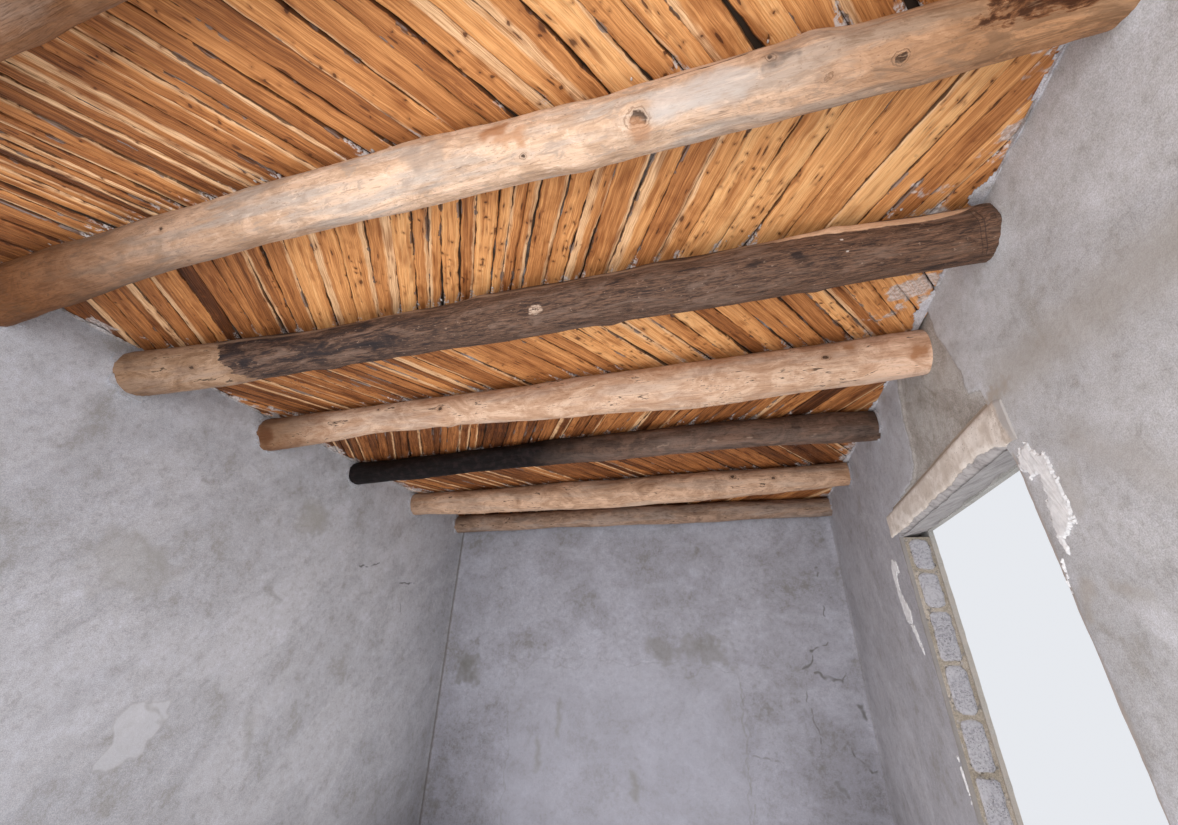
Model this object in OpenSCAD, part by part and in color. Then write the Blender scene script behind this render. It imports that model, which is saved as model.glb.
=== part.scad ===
// Section of a log-roofed room, open at its front end.
// X runs across the room, +Y towards the back wall, Z up from the ground.
// The origin lies on the ground, under the middle of the plan.

/* [Room] */
// Clear width between the rendered side walls
room_w = 3350; // [2600:10:4200]
// Clear length from the open front to the rendered back wall
room_l = 4300; // [3800:10:5600]
// Height of the slats' underside over the ground
ceiling_h = 2760; // [2600:10:3400]

/* [Walls] */
// Thickness of the concrete blocks
block_t = 110; // [90:5:200]
// Thickness of the render inside the room
inner_render_t = 15; // [10:1:30]
// Thickness of the render outside
outer_render_t = 25; // [10:1:40]

/* [Doorway] */
// Clear width between the jambs
door_w = 1100; // [800:10:1300]
// Height of the doorway's head over the ground
door_head_h = 2120; // [1900:10:2200]
// Distance from the fifth log's axis to the far jamb
door_from_log = 115; // [100:5:300]
// Height of the lintel
lintel_h = 150; // [100:5:200]
// Length of wall that the lintel rests on at each jamb
lintel_rest = 110; // [60:5:200]
// How far the lintel's face stands out from the inner render
lintel_proud = 5; // [1:1:15]
// Length of the lintel's face that stays bare beyond the near jamb
lintel_bare = 25; // [10:1:50]
// Distance from the far jamb to the mortar patch over the lintel
patch_from_jamb = 435; // [300:5:450]
// Distance from the mortar patch to the near jamb
patch_to_jamb = 75; // [40:5:150]
// Depth of the patch's face behind the inner render
patch_recess = 8; // [3:1:9]

/* [Logs] */
// Usual diameter of a log
log_d = 170; // [140:5:200]
// Distance from the open front to the axis of the first log
front_log_gap = 200; // [160:5:300]
// Distance from the back wall's face to the axis of the last log
back_log_gap = 110; // [105:5:200]
// Gap between a log and what it rests in or carries
log_seat = 0.3; // [0.1:0.1:1]

/* [Roof] */
// Thickness of the split-wood slats
slat_t = 25; // [15:1:50]
// Gap around each field of slats
slat_gap = 2; // [1:1:10]
// Thickness of the earth and cement layer over the slats
roof_layer_t = 90; // [50:5:200]

/* [Hidden] */

// Each log is its own tree trunk. The lists run from the front log to the back one.
// How far its left and right ends lie in front of an even spacing
left_shift = [0, 60, 215, 175, 125, 55, 10];
right_shift = [30, 75, 160, 220, 180, 95, -15];
// How much thicker than usual its left and right ends are
left_extra_d = [30, 20, 45, 20, -10, 5, -10];
right_extra_d = [30, -35, -10, 10, -20, -25, -30];
// How far it bows towards the back in the middle, and how far it winds to and fro
bow = [0, -15, 30, 10, -50, 0, -20];
wind = [0, -10, 20, 0, 25, 5, 5];
// How much its radius swells in the middle, and how much of it moves to the left
swell = [0, -8, -8, -4, 0, 24, 6];
left_swell = [0, -3, -8, -14, -5, -2, -4];

log_count = len(bow);
door_log = 4;
log_sides = 16;
spans_in_room = 12;
hole_overrun = 20;

wall_t = inner_render_t + block_t + outer_render_t;
half_room = room_w / 2;
half_core = half_room + inner_render_t;
half_block = half_core + block_t;
half_w = half_room + wall_t;
front_y = -(room_l + wall_t) / 2;
back_y = front_y + room_l;
back_core_y = back_y + inner_render_t;
back_block_y = back_core_y + block_t;
core_h = ceiling_h + slat_t;
log_pitch = (room_l - front_log_gap - back_log_gap) / (log_count - 1);
far_jamb_y = line_y(door_log, half_room) + door_from_log;
near_jamb_y = far_jamb_y - door_w;
lintel_top = door_head_h + lintel_h;
patch_far_y = far_jamb_y - patch_from_jamb;
patch_near_y = near_jamb_y + patch_to_jamb;
log_end_x = half_block - log_seat;

function mix(a, b, share) = a + (b - a) * share;
function across(x) = (x + half_room) / room_w;
function in_room(x) = min(max(across(x), 0), 1);

// The straight line that a log's ends follow, and its radius along that line
function line_y(i, x) =
    front_y + front_log_gap + i * log_pitch - mix(left_shift[i], right_shift[i], across(x));
function line_r(i, x) = (log_d + mix(left_extra_d[i], right_extra_d[i], across(x))) / 2;

// The crooked log between the walls
function log_y(i, x) =
    line_y(i, x) + bow[i] * sin(180 * in_room(x)) + wind[i] * sin(360 * in_room(x));
function log_r(i, x) =
    line_r(i, x) + swell[i] * sin(180 * in_room(x)) + left_swell[i] * sin(360 * in_room(x));
function log_z(r) = ceiling_h - log_seat - r;

function ring(i, x) = [
    for (k = [0 : log_sides - 1])
        let (a = 90 + 360 * k / log_sides, r = log_r(i, x))
            [x, log_y(i, x) + r * cos(a), log_z(r) + r * sin(a)]
];

module box_between(low, high) {
    translate(low) cube(high - low);
}

module log_beam(number) {
    i = number - 1;
    stations = concat(
        [-log_end_x],
        [for (s = [0 : spans_in_room]) mix(-half_room, half_room, s / spans_in_room)],
        [log_end_x]
    );
    last = len(stations) - 1;
    points = [for (x = stations) each ring(i, x)];
    sides = [
        for (s = [0 : last - 1], k = [0 : log_sides - 1])
            let (next = (k + 1) % log_sides, a = s * log_sides, b = a + log_sides)
                [a + k, a + next, b + next, b + k]
    ];
    left_end = [for (k = [log_sides - 1 : -1 : 0]) k];
    right_end = [for (k = [0 : log_sides - 1]) last * log_sides + k];
    color("peru") polyhedron(points, concat(sides, [left_end], [right_end]), convexity = 4);
}

// The hole that a log's straight ends leave in the walls
module log_hole(i) {
    x = half_block + hole_overrun;
    low_r = line_r(i, -x);
    high_r = line_r(i, x);
    run = [2 * x, line_y(i, x) - line_y(i, -x), low_r - high_r];
    translate([-x, line_y(i, -x), log_z(low_r)])
        rotate([0, acos(run.z / norm(run)), atan2(run.y, run.x)])
            cylinder(h = norm(run), r1 = low_r + log_seat, r2 = high_r + log_seat, $fn = 64);
}

module with_log_holes() {
    difference() {
        children();
        for (i = [0 : log_count - 1]) log_hole(i);
    }
}

module left_wall() {
    color("darkgray") with_log_holes()
        box_between([-half_block, front_y, 0], [-half_core, back_block_y, core_h]);
}

module left_wall_inner_render() {
    color("silver") with_log_holes()
        box_between([-half_core, front_y, 0], [-half_room, back_core_y, core_h]);
}

module left_wall_outer_render() {
    color("silver") box_between([-half_w, front_y, 0], [-half_block, back_block_y, core_h]);
}

module back_wall() {
    color("darkgray")
        box_between([-half_core, back_core_y, 0], [half_core, back_block_y, core_h]);
}

module back_wall_inner_render() {
    color("silver") box_between([-half_room, back_y, 0], [half_room, back_core_y, core_h]);
}

module back_wall_outer_render() {
    color("silver")
        box_between([-half_w, back_block_y, 0], [half_w, back_block_y + outer_render_t, core_h]);
}

module door_lintel() {
    color("tan") {
        box_between(
            [half_core, near_jamb_y - lintel_rest, door_head_h],
            [half_block, far_jamb_y + lintel_rest, lintel_top]
        );
        box_between(
            [half_room - lintel_proud, near_jamb_y - lintel_bare, door_head_h],
            [half_core, far_jamb_y + lintel_rest, lintel_top]
        );
    }
}

module right_wall_far_pier() {
    color("darkgray") difference() {
        with_log_holes()
            box_between([half_core, far_jamb_y, 0], [half_block, back_block_y, core_h]);
        door_lintel();
    }
}

module right_wall_near_pier() {
    color("darkgray") difference() {
        with_log_holes()
            box_between([half_core, front_y, 0], [half_block, near_jamb_y, core_h]);
        door_lintel();
    }
}

module right_wall_over_door() {
    color("darkgray") with_log_holes()
        box_between([half_core, near_jamb_y, lintel_top], [half_block, far_jamb_y, core_h]);
}

module far_pier_inner_render() {
    color("silver") difference() {
        with_log_holes()
            box_between([half_room, far_jamb_y, 0], [half_core, back_core_y, core_h]);
        door_lintel();
    }
}

module near_pier_inner_render() {
    color("silver") difference() {
        with_log_holes()
            box_between([half_room, front_y, 0], [half_core, near_jamb_y, core_h]);
        door_lintel();
    }
}

module over_door_inner_render() {
    color("silver") with_log_holes() {
        box_between([half_room, patch_far_y, lintel_top], [half_core, far_jamb_y, core_h]);
        box_between([half_room, near_jamb_y, lintel_top], [half_core, patch_near_y, core_h]);
    }
}

module over_door_patch() {
    color("rosybrown") with_log_holes() box_between(
        [half_room + patch_recess, patch_near_y, lintel_top],
        [half_core, patch_far_y, core_h]
    );
}

module far_pier_outer_render() {
    color("silver") box_between([half_block, far_jamb_y, 0], [half_w, back_block_y, core_h]);
}

module near_pier_outer_render() {
    color("silver") box_between([half_block, front_y, 0], [half_w, near_jamb_y, core_h]);
}

module over_door_outer_render() {
    color("silver")
        box_between([half_block, near_jamb_y, door_head_h], [half_w, far_jamb_y, core_h]);
}

// The field of slats between two neighbouring logs, from axis to axis.
// The first field runs on to the open front and the last one to the back wall.
module slat_deck(number) {
    x = half_room - slat_gap;
    is_first = number == 1;
    is_last = number == log_count - 1;
    front = [
        for (side = [-x, x]) [side, is_first ? front_y : line_y(number - 1, side) + slat_gap / 2]
    ];
    back = [
        for (side = [x, -x]) [side, is_last ? back_y - slat_gap : line_y(number, side) - slat_gap / 2]
    ];
    color("burlywood") translate([0, 0, ceiling_h])
        linear_extrude(slat_t) polygon(concat(front, back));
}

module roof_layer() {
    color("gainsboro") box_between(
        [-half_w, front_y, core_h],
        [half_w, back_y + wall_t, core_h + roof_layer_t]
    );
}

left_wall();
left_wall_inner_render();
left_wall_outer_render();
back_wall();
back_wall_inner_render();
back_wall_outer_render();
right_wall_far_pier();
right_wall_near_pier();
right_wall_over_door();
door_lintel();
far_pier_inner_render();
near_pier_inner_render();
over_door_inner_render();
over_door_patch();
far_pier_outer_render();
near_pier_outer_render();
over_door_outer_render();
log_beam(1);  // log_1
log_beam(2);  // log_2
log_beam(3);  // log_3
log_beam(4);  // log_4
log_beam(5);  // log_5
log_beam(6);  // log_6
log_beam(7);  // log_7
slat_deck(1);  // slat_deck_1
slat_deck(2);  // slat_deck_2
slat_deck(3);  // slat_deck_3
slat_deck(4);  // slat_deck_4
slat_deck(5);  // slat_deck_5
slat_deck(6);  // slat_deck_6
roof_layer();
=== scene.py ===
# Dressed model of a log-roofed room section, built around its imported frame. Metres, Z up.
import math
import random
from functools import partial

import bmesh
import bpy
from mathutils import Matrix, Vector, noise


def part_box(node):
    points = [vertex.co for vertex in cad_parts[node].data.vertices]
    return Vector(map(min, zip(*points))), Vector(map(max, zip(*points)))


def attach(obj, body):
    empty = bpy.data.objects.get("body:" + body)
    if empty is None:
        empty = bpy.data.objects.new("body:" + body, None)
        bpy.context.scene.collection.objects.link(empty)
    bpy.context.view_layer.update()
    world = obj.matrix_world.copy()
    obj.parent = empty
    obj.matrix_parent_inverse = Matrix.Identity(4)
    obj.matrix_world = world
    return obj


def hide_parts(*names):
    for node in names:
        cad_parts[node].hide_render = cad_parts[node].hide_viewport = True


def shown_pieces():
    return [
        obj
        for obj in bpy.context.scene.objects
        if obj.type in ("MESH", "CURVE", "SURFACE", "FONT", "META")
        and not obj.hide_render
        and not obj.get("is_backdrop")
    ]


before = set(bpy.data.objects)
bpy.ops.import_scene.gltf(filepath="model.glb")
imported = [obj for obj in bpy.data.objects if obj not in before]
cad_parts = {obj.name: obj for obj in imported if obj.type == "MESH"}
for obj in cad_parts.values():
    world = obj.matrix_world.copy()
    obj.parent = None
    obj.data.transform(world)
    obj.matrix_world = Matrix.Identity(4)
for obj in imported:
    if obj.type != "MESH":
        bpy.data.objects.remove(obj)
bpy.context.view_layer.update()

scene = bpy.context.scene
scene.view_settings.view_transform = "Standard"
# Vector noise roughens the rims; the seed keeps them the same in each run
noise.seed_set(5)

# Faces and edges of the room, taken from the frame
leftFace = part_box("left_wall_inner_render")[1].x
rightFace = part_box("far_pier_inner_render")[0].x
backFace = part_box("back_wall_inner_render")[0].y
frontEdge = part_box("left_wall")[0].y
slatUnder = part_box("slat_deck_1")[0].z
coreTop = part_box("left_wall")[1].z
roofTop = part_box("roof_layer")[1].z
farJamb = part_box("right_wall_far_pier")[0].y
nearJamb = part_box("right_wall_near_pier")[1].y
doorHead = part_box("door_lintel")[0].z
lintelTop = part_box("door_lintel")[1].z
roomWidth = rightFace - leftFace
logCount = 7
bayCount = 6


# Small helpers

def mix(low, high, share):
    return low + (high - low) * share


def clamp(value, low=0.0, high=1.0):
    return max(low, min(high, value))


def ease(value, start, stop):
    share = clamp((value - start) / (stop - start))
    return share * share * (3 - 2 * share)


def wobble(x, y, z, seed=0):
    return noise.noise(Vector((x + 17.31 * seed, y - 9.17 * seed, z + 4.73 * seed)))


def roughness(x, y, z, seed=0, octaves=4):
    return noise.fractal(Vector((x - 7.7 * seed, y + 3.9 * seed, z + 11.3 * seed)), 0.8, 2.1, octaves)


def bell(distance, reach):
    return math.exp(-(distance / reach) ** 2)


def fromLeft(share):
    return leftFace + share * roomWidth


# Camera at the photograph's viewing angle
camera = {"place": (0.858, -2.099, 1.547), "turnLeft": 16.84, "tiltUp": 27.68, "roll": 1.81, "lens": 14.345}


def makeCamera():
    turn = math.radians(-camera["turnLeft"])
    tilt = math.radians(camera["tiltUp"])
    roll = math.radians(camera["roll"])
    forward = Vector((math.sin(turn) * math.cos(tilt), math.cos(turn) * math.cos(tilt), math.sin(tilt)))
    level = Vector((math.cos(turn), -math.sin(turn), 0))
    upright = level.cross(forward)
    right = math.cos(roll) * level + math.sin(roll) * upright
    up = -math.sin(roll) * level + math.cos(roll) * upright
    data = bpy.data.cameras.new("camera")
    data.lens = camera["lens"]
    data.sensor_fit = "HORIZONTAL"
    data.sensor_width = 36
    data.clip_start = 0.02
    shot = bpy.data.objects.new("camera", data)
    scene.collection.objects.link(shot)
    turned = Matrix((right, up, -forward)).transposed().to_4x4()
    shot.matrix_world = Matrix.Translation(Vector(camera["place"])) @ turned
    scene.camera = shot


# Light, floor and background
light = {
    "background": (0.8, 0.82, 0.86),
    "ambient": (0.93, 0.95, 1.0),
    "ambientStrength": 0.6,
    "sunStrength": 1.6,
    "sunFrom": (-0.55, 0.3, 0.8),
    "sunWidth": 35,
    "openingPower": 90,
    "middlePower": 57,
    "floorColour": (0.74, 0.74, 0.73),
    "fadeFrom": 3.6,
    "fadeTo": 8.0,
    "floorRadius": 26,
    "floorLevel": -0.002,
}


def newLamp(name, kind, power):
    data = bpy.data.lights.new(name, kind)
    data.energy = power
    lamp = bpy.data.objects.new(name, data)
    scene.collection.objects.link(lamp)
    return lamp


def lampAt(name, place, target, size, power, colour):
    lamp = newLamp(name, "AREA", power)
    lamp.data.shape = "RECTANGLE"
    lamp.data.size, lamp.data.size_y = size
    lamp.data.color = colour
    lamp.location = place
    lamp.rotation_euler = (Vector(target) - Vector(place)).to_track_quat("-Z", "Y").to_euler()
    lamp.visible_camera = False
    lamp.visible_glossy = False


# Camera, glossy and transmission rays see the plain background
def seenRays():
    rays = place("LightPath").outputs
    seen = larger(rays["Is Camera Ray"], rays["Is Glossy Ray"])
    return larger(seen, rays["Is Transmission Ray"])


def makeLight():
    world = bpy.data.worlds.new("studio")
    scene.world = world
    world.use_nodes = True
    tree = opened["tree"] = world.node_tree
    tree.nodes.clear()
    seen = seenRays()
    plain = place("Background", {"Color": (*light["background"], 1), "Strength": 1.0})
    ambient = place("Background", {"Color": (*light["ambient"], 1), "Strength": light["ambientStrength"]})
    both = place("MixShader", {0: seen, 1: ambient.outputs[0], 2: plain.outputs[0]})
    place("OutputWorld", {"Surface": both.outputs[0]})

    sun = newLamp("soft_sun", "SUN", light["sunStrength"])
    sun.data.angle = math.radians(light["sunWidth"])
    sun.rotation_euler = Vector(light["sunFrom"]).to_track_quat("Z", "Y").to_euler()
    lampAt("opening_lamp", (0.3, frontEdge - 0.9, 1.5), (0, 0.8, 1.3), (3.0, 2.4),
           light["openingPower"], (1.0, 0.99, 0.97))
    lampAt("middle_lamp", (0, 0.1, 0.22), (0, 0.1, 2.0), (2.2, 3.4),
           light["middlePower"], (1.0, 0.98, 0.96))


def makeFloor():
    bpy.ops.mesh.primitive_circle_add(
        vertices=96, radius=light["floorRadius"], fill_type="NGON", location=(0, 0, light["floorLevel"]))
    floor = bpy.context.active_object
    floor.name = "floor"
    finish = bpy.data.materials.new("pale_floor")
    finish.use_nodes = True
    shader = finish.node_tree.nodes["Principled BSDF"]
    shader.inputs["Base Color"].default_value = (*light["floorColour"], 1)
    shader.inputs["Roughness"].default_value = 0.85
    # it turns into the background's colour further out, so no horizon shows through the doorway
    tree = opened["tree"] = finish.node_tree
    ground = place("NewGeometry").outputs["Position"]
    away = vectorMath("DISTANCE", ground, (0.0, 0.0, 0.0))
    seen = seenRays()
    glow = place("Emission", {"Color": (*light["background"], 1), "Strength": 1.0})
    faded = times(seen, band(away, light["fadeFrom"], light["fadeTo"]))
    both = place("MixShader", {0: faded, 1: shader.outputs[0], 2: glow.outputs[0]})
    feed(tree.nodes["Material Output"].inputs["Surface"], both.outputs[0])
    floor.data.materials.append(finish)
    floor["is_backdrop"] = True


# Node helpers: they add to the node tree that was opened last

opened = {}


def feed(socket, value):
    if isinstance(value, bpy.types.NodeSocket):
        opened["tree"].links.new(value, socket)
    else:
        socket.default_value = value


def place(kind, inputs=None, **settings):
    node = opened["tree"].nodes.new("ShaderNode" + kind)
    for name, value in settings.items():
        setattr(node, name, value)
    for name, value in (inputs or {}).items():
        feed(node.inputs[name], value)
    return node


def scalar(operation, first, second=None, third=None):
    node = place("Math", operation=operation)
    for socket, value in zip(node.inputs, (first, second, third)):
        if value is not None:
            feed(socket, value)
    return node.outputs[0]


times = partial(scalar, "MULTIPLY")
timesPlus = partial(scalar, "MULTIPLY_ADD")
plus = partial(scalar, "ADD")
minus = partial(scalar, "SUBTRACT")
larger = partial(scalar, "MAXIMUM")
smaller = partial(scalar, "MINIMUM")
absolute = partial(scalar, "ABSOLUTE")


def vectorMath(operation, first, second):
    node = place("VectorMath", operation=operation)
    feed(node.inputs[0], first)
    feed(node.inputs[1], second)
    return node.outputs["Value" if operation in ("DISTANCE", "DOT_PRODUCT") else "Vector"]


scaled = partial(vectorMath, "MULTIPLY")


def band(value, start, stop, low=0.0, high=1.0):
    node = place("MapRange", interpolation_type="SMOOTHSTEP")
    for name, number in zip(("Value", "From Min", "From Max", "To Min", "To Max"),
                            (value, start, stop, low, high)):
        feed(node.inputs[name], number)
    return node.outputs["Result"]


def blend(share, first, second, kind="MIX"):
    node = place("Mix", data_type="RGBA", blend_type=kind)
    feed(node.inputs[0], share)
    feed(node.inputs[6], rgba(first))
    feed(node.inputs[7], rgba(second))
    return node.outputs[2]


def tinted(colour, tint):
    return blend(1.0, colour, tint, "MULTIPLY")


# Layers over a colour: where a value goes from start to stop, and how much they cover
def layered(colour, *layers):
    for value, start, stop, cover, tint in layers:
        colour = blend(band(value, start, stop, 0.0, cover), colour, tint)
    return colour


# The same with layers that darken or brighten what they cover
def shaded(colour, *layers):
    for value, start, stop, cover, tint in layers:
        colour = blend(band(value, start, stop, 0.0, cover), colour, tinted(colour, tint))
    return colour


def rgba(colour):
    if isinstance(colour, tuple) and len(colour) == 3:
        return (*colour, 1)
    return colour


def noiseAt(vector, scale, detail=3.0, rough=0.55, twist=0.0):
    node = place("TexNoise", {
        "Vector": vector, "Scale": scale, "Detail": detail, "Roughness": rough, "Distortion": twist})
    return node.outputs["Fac"]


def unevenAt(*settings):
    return minus(noiseAt(*settings), 0.5)


def stretched(vector, stretch, *settings):
    return noiseAt(scaled(vector, stretch), 1.0, *settings)


def cells(vector, scale, feature="F1", output="Distance"):
    node = place("TexVoronoi", {"Vector": vector, "Scale": scale}, feature=feature)
    return node.outputs[output]


def split(vector):
    return place("SeparateXYZ", {"Vector": vector}).outputs


def joined(x, y, z):
    return place("CombineXYZ", {"X": x, "Y": y, "Z": z}).outputs[0]


def attribute(name, output="Vector"):
    return place("Attribute", attribute_name=name).outputs[output]


# An effect's inputs are vectors, colours and numbers; values are those that a user may leave out
def nodeGroup(name, vectors, colours, numbers, outputs, **values):
    group = opened["tree"] = bpy.data.node_groups.new(name, "ShaderNodeTree")
    for kind, labels in (("Vector", vectors), ("Color", colours), ("Float", numbers)):
        for label in labels.split():
            socket = group.interface.new_socket(label, in_out="INPUT", socket_type="NodeSocket" + kind)
            if label in values:
                socket.default_value = values[label]
    for label in outputs.split():
        kind = {"Colour": "Color", "Bent": "Vector"}.get(label, "Float")
        group.interface.new_socket(label, in_out="OUTPUT", socket_type="NodeSocket" + kind)
    return group, group.nodes.new("NodeGroupInput").outputs, group.nodes.new("NodeGroupOutput").inputs


def use(effect, **inputs):
    node = place("Group", node_tree=shared[effect])
    for name, value in inputs.items():
        socket = node.inputs[name]
        feed(socket, rgba(value) if socket.type == "RGBA" else value)
    return node.outputs


def newMaterial(name):
    material = bpy.data.materials.new(name)
    material.use_nodes = True
    tree = opened["tree"] = material.node_tree
    shader = tree.nodes["Principled BSDF"]
    shader.inputs["Specular IOR Level"].default_value = 0.3
    space = place("TexCoord").outputs["Object"]
    return material, shader, space


# Heights are in millimetres, so the bump's distance is one millimetre
def finishWith(shader, colour, rough, height, strength=1.0):
    feed(shader.inputs["Base Color"], colour)
    feed(shader.inputs["Roughness"], rough)
    bump = place("Bump", {"Strength": strength, "Distance": 0.001, "Height": height})
    feed(shader.inputs["Normal"], bump.outputs["Normal"])


# Shared effects

def makeWoodFibre():
    group, given, result = nodeGroup("wood_fibre", "Vector", "", "Along Across", "Fine Bands")
    along, across = given["Along"], given["Across"]
    fine = scaled(given["Vector"], joined(along, across, across))
    coarse = scaled(fine, (0.3, 0.16, 0.16))
    feed(result["Fine"], noiseAt(fine, 1.0, 2, 0.7))
    feed(result["Bands"], noiseAt(coarse, 1.0, 3, 0.6, 0.5))
    return group


# Trowelled cement: slanting clouds, soft mottles, olive stains, thin dark veins and sand
def makeCementFinish():
    group, given, result = nodeGroup(
        "cement_finish", "Vector", "Base Light Stain", "Stains Clouds Veins Grit", "Colour Height Rough",
        Clouds=1.6, Veins=0.2)
    vector = given["Vector"]
    x, y, z = split(vector)
    stroke = times(plus(y, z), 0.55)
    across = times(minus(z, y), 1.35)
    cloud = noiseAt(joined(x, stroke, across), given["Clouds"], 4, 0.68, 0.5)
    mottle = noiseAt(vector, 6.5, 4, 0.72)
    sand = noiseAt(vector, 280.0, 1, 0.9)
    crumbly = noiseAt(vector, 32.0, 2, 0.78)
    colour = blend(band(cloud, 0.43, 0.57, 0.08, 0.92), given["Base"], given["Light"])
    colour = shaded(
        colour,
        (mottle, 0.48, 0.68, 0.4, (1.2, 1.21, 1.25)),
        (mottle, 0.5, 0.32, 0.55, (0.8, 0.79, 0.77)),
        (crumbly, 0.47, 0.33, 0.75, (0.84, 0.83, 0.81)),
        (crumbly, 0.52, 0.66, 0.75, (1.1, 1.11, 1.13)))
    damp = timesPlus(mottle, 0.52, times(cloud, 0.38))
    damp = timesPlus(crumbly, 0.1, damp)
    stained = times(band(damp, 0.455, 0.355), given["Stains"])
    colour = blend(stained, colour, given["Stain"])
    ridge = absolute(minus(mottle, 0.475))
    vein = times(band(ridge, 0.01, 0.002), band(cloud, 0.5, 0.4))
    vein = times(vein, given["Veins"])
    colour = blend(vein, colour, tinted(given["Stain"], (0.6, 0.6, 0.62)))
    speckle = band(sand, 0.25, 0.75, 0.68, 1.32)
    colour = blend(given["Grit"], colour, tinted(colour, joined(speckle, speckle, speckle)))
    height = timesPlus(crumbly, 1.4, times(sand, 0.45))
    feed(result["Colour"], colour)
    feed(result["Height"], height)
    feed(result["Rough"], band(mottle, 0.3, 0.7, 0.78, 0.92))
    return group


# A box-shaped region of the surface with a torn border
def makeTornPatch():
    group, given, result = nodeGroup(
        "torn_patch", "Vector Centre Half", "", "Tear Fineness Softness", "Inside Border")
    away = vectorMath("SUBTRACT", given["Vector"], given["Centre"])
    away = place("VectorMath", {0: away}, operation="ABSOLUTE").outputs[0]
    beyond = split(vectorMath("SUBTRACT", away, given["Half"]))
    furthest = larger(larger(beyond[0], beyond[1]), beyond[2])
    torn = unevenAt(given["Vector"], given["Fineness"], 2, 0.7)
    edge = timesPlus(torn, given["Tear"], furthest)
    soft = given["Softness"]
    feed(result["Inside"], band(edge, soft, times(soft, -1.0)))
    feed(result["Border"], band(absolute(edge), soft, 0.0))
    return group


# A stroke: how near a point is to a straight line between two ends
def makeStroke():
    group, given, result = nodeGroup(
        "stroke", "Vector Centre Half Measure", "", "Outer Inner Cover", "Mask")
    away = vectorMath("SUBTRACT", given["Vector"], given["Centre"])
    share = vectorMath("DOT_PRODUCT", away, given["Measure"])
    share = place("Clamp", {"Value": share, "Min": -1.0, "Max": 1.0}).outputs[0]
    nearest = place("VectorMath", {0: given["Half"], "Scale": share}, operation="SCALE").outputs[0]
    gap = vectorMath("DISTANCE", away, nearest)
    feed(result["Mask"], band(gap, given["Outer"], given["Inner"], 0.0, given["Cover"]))
    return group


def strokeBetween(vector, start, stop, wide, soft, cover=1.0):
    start, stop = Vector(start), Vector(stop)
    half = (stop - start) / 2
    return use("stroke", Vector=vector, Centre=(start + stop) / 2, Half=half,
               Measure=half / half.length_squared, Outer=wide + soft, Inner=wide - soft, Cover=cover)["Mask"]


# The space with its lines made crooked
def crooked(vector, scale, amount, detail=1):
    wild = place("TexNoise", {"Vector": vector, "Scale": scale, "Detail": detail}).outputs["Color"]
    shift = vectorMath("SUBTRACT", wild, (0.5, 0.5, 0.5))
    return vectorMath("ADD", vector, scaled(shift, (amount, amount, amount)))


def makePits():
    group, given, result = nodeGroup("pits", "Vector", "", "Scale Size", "Mask")
    holes = band(cells(given["Vector"], given["Scale"]), given["Size"], times(given["Size"], 0.55))
    chosen = band(noiseAt(given["Vector"], 24.0, 2), 0.42, 0.55)
    feed(result["Mask"], times(holes, chosen))
    return group


# A branch knot: its mask, its rings, and a vector whose grain runs round it
def makeKnotEye():
    group, given, result = nodeGroup("knot_eye", "Vector Centre", "", "Radius", "Mask Halo Rings Bent")
    offset = vectorMath("SUBTRACT", given["Vector"], given["Centre"])
    length = vectorMath("DISTANCE", scaled(offset, (0.75, 1, 1)), (0, 0, 0))
    reach = scalar("DIVIDE", length, given["Radius"])
    uneven = unevenAt(given["Vector"], 60.0, 3)
    reach = timesPlus(uneven, 1.1, reach)
    feed(result["Mask"], band(reach, 0.8, 0.5))
    feed(result["Halo"], band(reach, 2.2, 0.7))
    rings = scalar("SINE", times(reach, 15.0))
    feed(result["Rings"], times(band(rings, 0.1, 0.9), band(reach, 1.5, 0.8)))
    pull = minus(1.0, band(reach, 3.6, 0.4, 0.0, 0.62))
    bent = scaled(offset, joined(1.0, pull, pull))
    feed(result["Bent"], vectorMath("ADD", bent, given["Centre"]))
    return group


# Peeled weathered wood: soft blotches, fine fibre lines, small specks, greying, stains, cracks
def makeLogWood():
    group, given, result = nodeGroup(
        "log_wood", "Vector", "Pale Mid Dark Grey", "Grain Stains Greying Checks", "Colour Height Rough")
    vector = given["Vector"]
    fine = stretched(vector, (13.0, 180.0, 180.0), 3, 0.74)
    blots = stretched(vector, (5.5, 10.0, 10.0), 5, 0.75, 1.0)
    wander = stretched(vector, (2.0, 14.0, 14.0), 4, 0.62)
    specks = stretched(vector, (120.0, 240.0, 240.0), 1)
    colour = blend(band(blots, 0.42, 0.58), given["Mid"], given["Pale"])
    colour = blend(times(band(wander, 0.46, 0.62), given["Greying"]), colour, given["Grey"])
    colour = blend(times(band(blots, 0.43, 0.28), given["Stains"]), colour, given["Dark"])
    both = timesPlus(blots, -0.35, plus(fine, 0.175))
    colour = blend(times(band(both, 0.48, 0.74), given["Grain"]), colour, given["Dark"])
    colour = blend(band(fine, 0.45, 0.25, 0.0, 0.4), colour, tinted(colour, (1.25, 1.27, 1.29)))
    colour = blend(band(specks, 0.66, 0.74, 0.0, 0.55), colour, given["Dark"])
    line = band(absolute(minus(wander, 0.46)), 0.014, 0.004)
    check = times(line, band(blots, 0.52, 0.57))
    check = times(check, given["Checks"])
    colour = blend(check, colour, (0.035, 0.02, 0.013))
    height = times(fine, 2.2)
    feed(result["Colour"], colour)
    feed(result["Height"], height)
    feed(result["Rough"], band(fine, 0.3, 0.7, 0.6, 0.78))
    return group


shared = {}
shared["woodFibre"] = makeWoodFibre()
shared["cementFinish"] = makeCementFinish()
shared["tornPatch"] = makeTornPatch()
shared["pits"] = makePits()
shared["stroke"] = makeStroke()
shared["knotEye"] = makeKnotEye()
shared["logWood"] = makeLogWood()
print("shared finishes are ready")


# Pieces

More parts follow.
